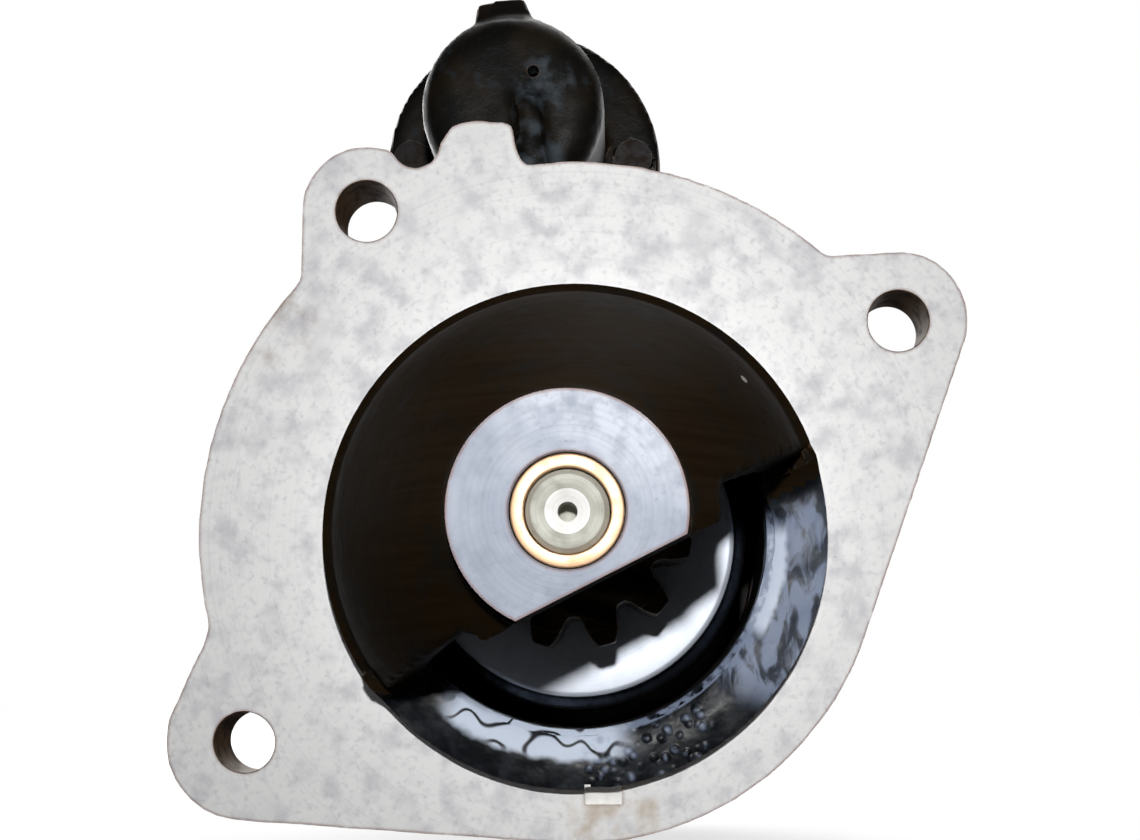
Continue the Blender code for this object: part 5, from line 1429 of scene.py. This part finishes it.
# ---- CAD nodes that stay ------------------------------------------------------------------------
KEPT_LOOKS = {
    "pole_shoe": "steel",
    "field_coil_set": "cotton_tape",
    "armature_core": "core_laminations",
    "armature_windings": "varnished_copper",
    "commutator": "commutator_copper",
    "brush_plate": "zinc_plate",
    "brush_spring": "spring_steel",
    "brush_": "carbon",
    "solenoid_coil": "wound_wire",
    "solenoid_core": "steel",
    "plunger": "zinc_plate",
    "clevis_pin": "steel",
    "moving_contact": "copper",
    "engaging_lever": "oiled_steel",
}


def dress_kept_nodes():
    """Gives each CAD node that is still shown its material, and breaks its edges."""
    for name, node in frame["nodes"].items():
        if node.hide_render:
            continue
        look = next(look for start, look in KEPT_LOOKS.items() if name.startswith(start))
        node.data.materials.clear()
        node.data.materials.append(LOOKS[look])
        edges = node.modifiers.new("edges", "BEVEL")
        edges.width = KEPT_EDGE * MM
        edges.segments = 2
        edges.limit_method = "ANGLE"
        edges.angle_limit = KEPT_EDGE_ANGLE


dress_kept_nodes()


# ---- floor, light and camera --------------------------------------------------------------------
CAMERA_PLACE = Vector((0.008, FLANGE_Y * MM - 0.288, -0.0255))
CAMERA_LENS = 51.0
CAMERA_SHIFT = {"shift_x": -0.0447, "shift_y": 0.2298}
FLOOR_RADIUS = 3.0
WHITE = (1, 1, 1, 1)


def make_floor():
    """A pale floor that fades into the white surround and can be seen through from below."""
    outline = arc((0, 0), FLOOR_RADIUS, 0, 360, 96)[:-1]
    mesh = bpy.data.meshes.new("floor")
    points = [(x, y, CAD_BOX[0].z) for x, y in outline]
    mesh.from_pydata(points, [], [list(range(len(points)))])
    look = Surface("floor", (0.008, 0.008, 0.008), 0.9)
    look.tint(look.along((0, 1, 0), -230, -60), (0.09, 0.09, 0.09))
    look.relief(look.noise(2.0, 2), 0.02)
    look.done()
    mesh.materials.append(look.material)
    away = look.vectors("LENGTH", look.place)["Value"]
    glow_strength = look.ramp(away, 0.30, 0.75, 0.70, 1.0)
    glow = look.add("Emission", {"Color": WHITE, "Strength": glow_strength})[0]
    pale = look.add("BsdfDiffuse", {"Color": (0.35, 0.35, 0.35, 1)})[0]
    lit = look.add("AddShader", {0: pale, 1: glow})[0]
    seen = look.add("LightPath")["Is Camera Ray"]
    shown = look.add("MixShader", {0: seen, 1: look.shader.outputs[0], 2: lit})[0]
    fade = look.sums("MAXIMUM", look.ramp(away, 0.6 * FLOOR_RADIUS, 0.9 * FLOOR_RADIUS),
                     look.add("NewGeometry")["Backfacing"])
    faded = look.add("MixShader", {0: fade, 1: shown, 2: look.add("BsdfTransparent")[0]})[0]
    look.feed(look.tree.nodes["Material Output"].inputs["Surface"], faded)
    linked(bpy.data.objects.new("floor", mesh))


def make_world():
    """White to the eye. What reflects or gathers its light finds it dark on the camera's side and
    a soft grey on the far side."""
    world = bpy.data.worlds.new("studio")
    bpy.context.scene.world = world
    world.use_nodes = True
    sky = Nodes(world.node_tree)
    parts = sky.add("SeparateXYZ", {0: sky.add("TexCoord")["Generated"]})
    fill = sky.ramp(parts["Y"], 0.0, 0.7, 0.002, 0.13, shape="LINEAR")
    seen = sky.add("LightPath")["Is Camera Ray"]
    background = sky.tree.nodes["Background"].inputs
    sky.feed(background["Strength"], sky.sums("MAXIMUM", seen, fill))
    sky.feed(background["Color"], WHITE)


def area_light(name, place, target, size, power):
    data = bpy.data.lights.new(name, "AREA")
    data.shape = "DISK"
    data.size = size
    data.energy = power
    lamp = linked(bpy.data.objects.new(name, data))
    lamp.location = place
    lamp.rotation_euler = (target - place).to_track_quat("-Z", "Y").to_euler()
    lamp.visible_camera = False


def make_lights():
    """A small flash just above the camera, and four soft lights behind the flange."""
    centre = (CAD_BOX[0] + CAD_BOX[1]) / 2
    flash = Vector((0.0060, CAMERA_PLACE.y, 0.0520))
    area_light("flash", flash, Vector((0, FLANGE_Y * MM, 0)), 0.018, 0.66)
    for name, offset, size, power in (("top", (0.1, 0.40, 0.85), 0.8, 4.5),
                                      ("left", (-0.80, 0.85, 0.30), 0.9, 5.5),
                                      ("right", (0.75, 0.90, 0.20), 0.9, 4.2),
                                      ("rear", (-0.2, 0.95, 0.35), 0.9, 7.0)):
        area_light(name, centre + Vector(offset), centre, size, power)


def make_camera():
    """Stands where the flange is seen square on. Its lens shift holds only at that place."""
    data = bpy.data.cameras.new("camera")
    data.lens = CAMERA_LENS
    data.clip_start = 0.01
    camera = linked(bpy.data.objects.new("camera", data))
    camera.location = CAMERA_PLACE
    camera.rotation_euler = (math.pi / 2, 0, 0)
    bpy.context.scene.camera = camera
    for field, shift in CAMERA_SHIFT.items():
        driver = data.driver_add(field).driver
        variable = driver.variables.new()
        variable.name = "y"
        variable.type = "TRANSFORMS"
        variable.targets[0].id = camera
        variable.targets[0].transform_type = "LOC_Y"
        variable.targets[0].transform_space = "WORLD_SPACE"
        driver.expression = f"{shift} if abs(y - {CAMERA_PLACE.y:.4f}) < 0.001 else 0"


make_floor()
make_world()
make_lights()
make_camera()
bpy.context.scene.view_settings.view_transform = "Standard"
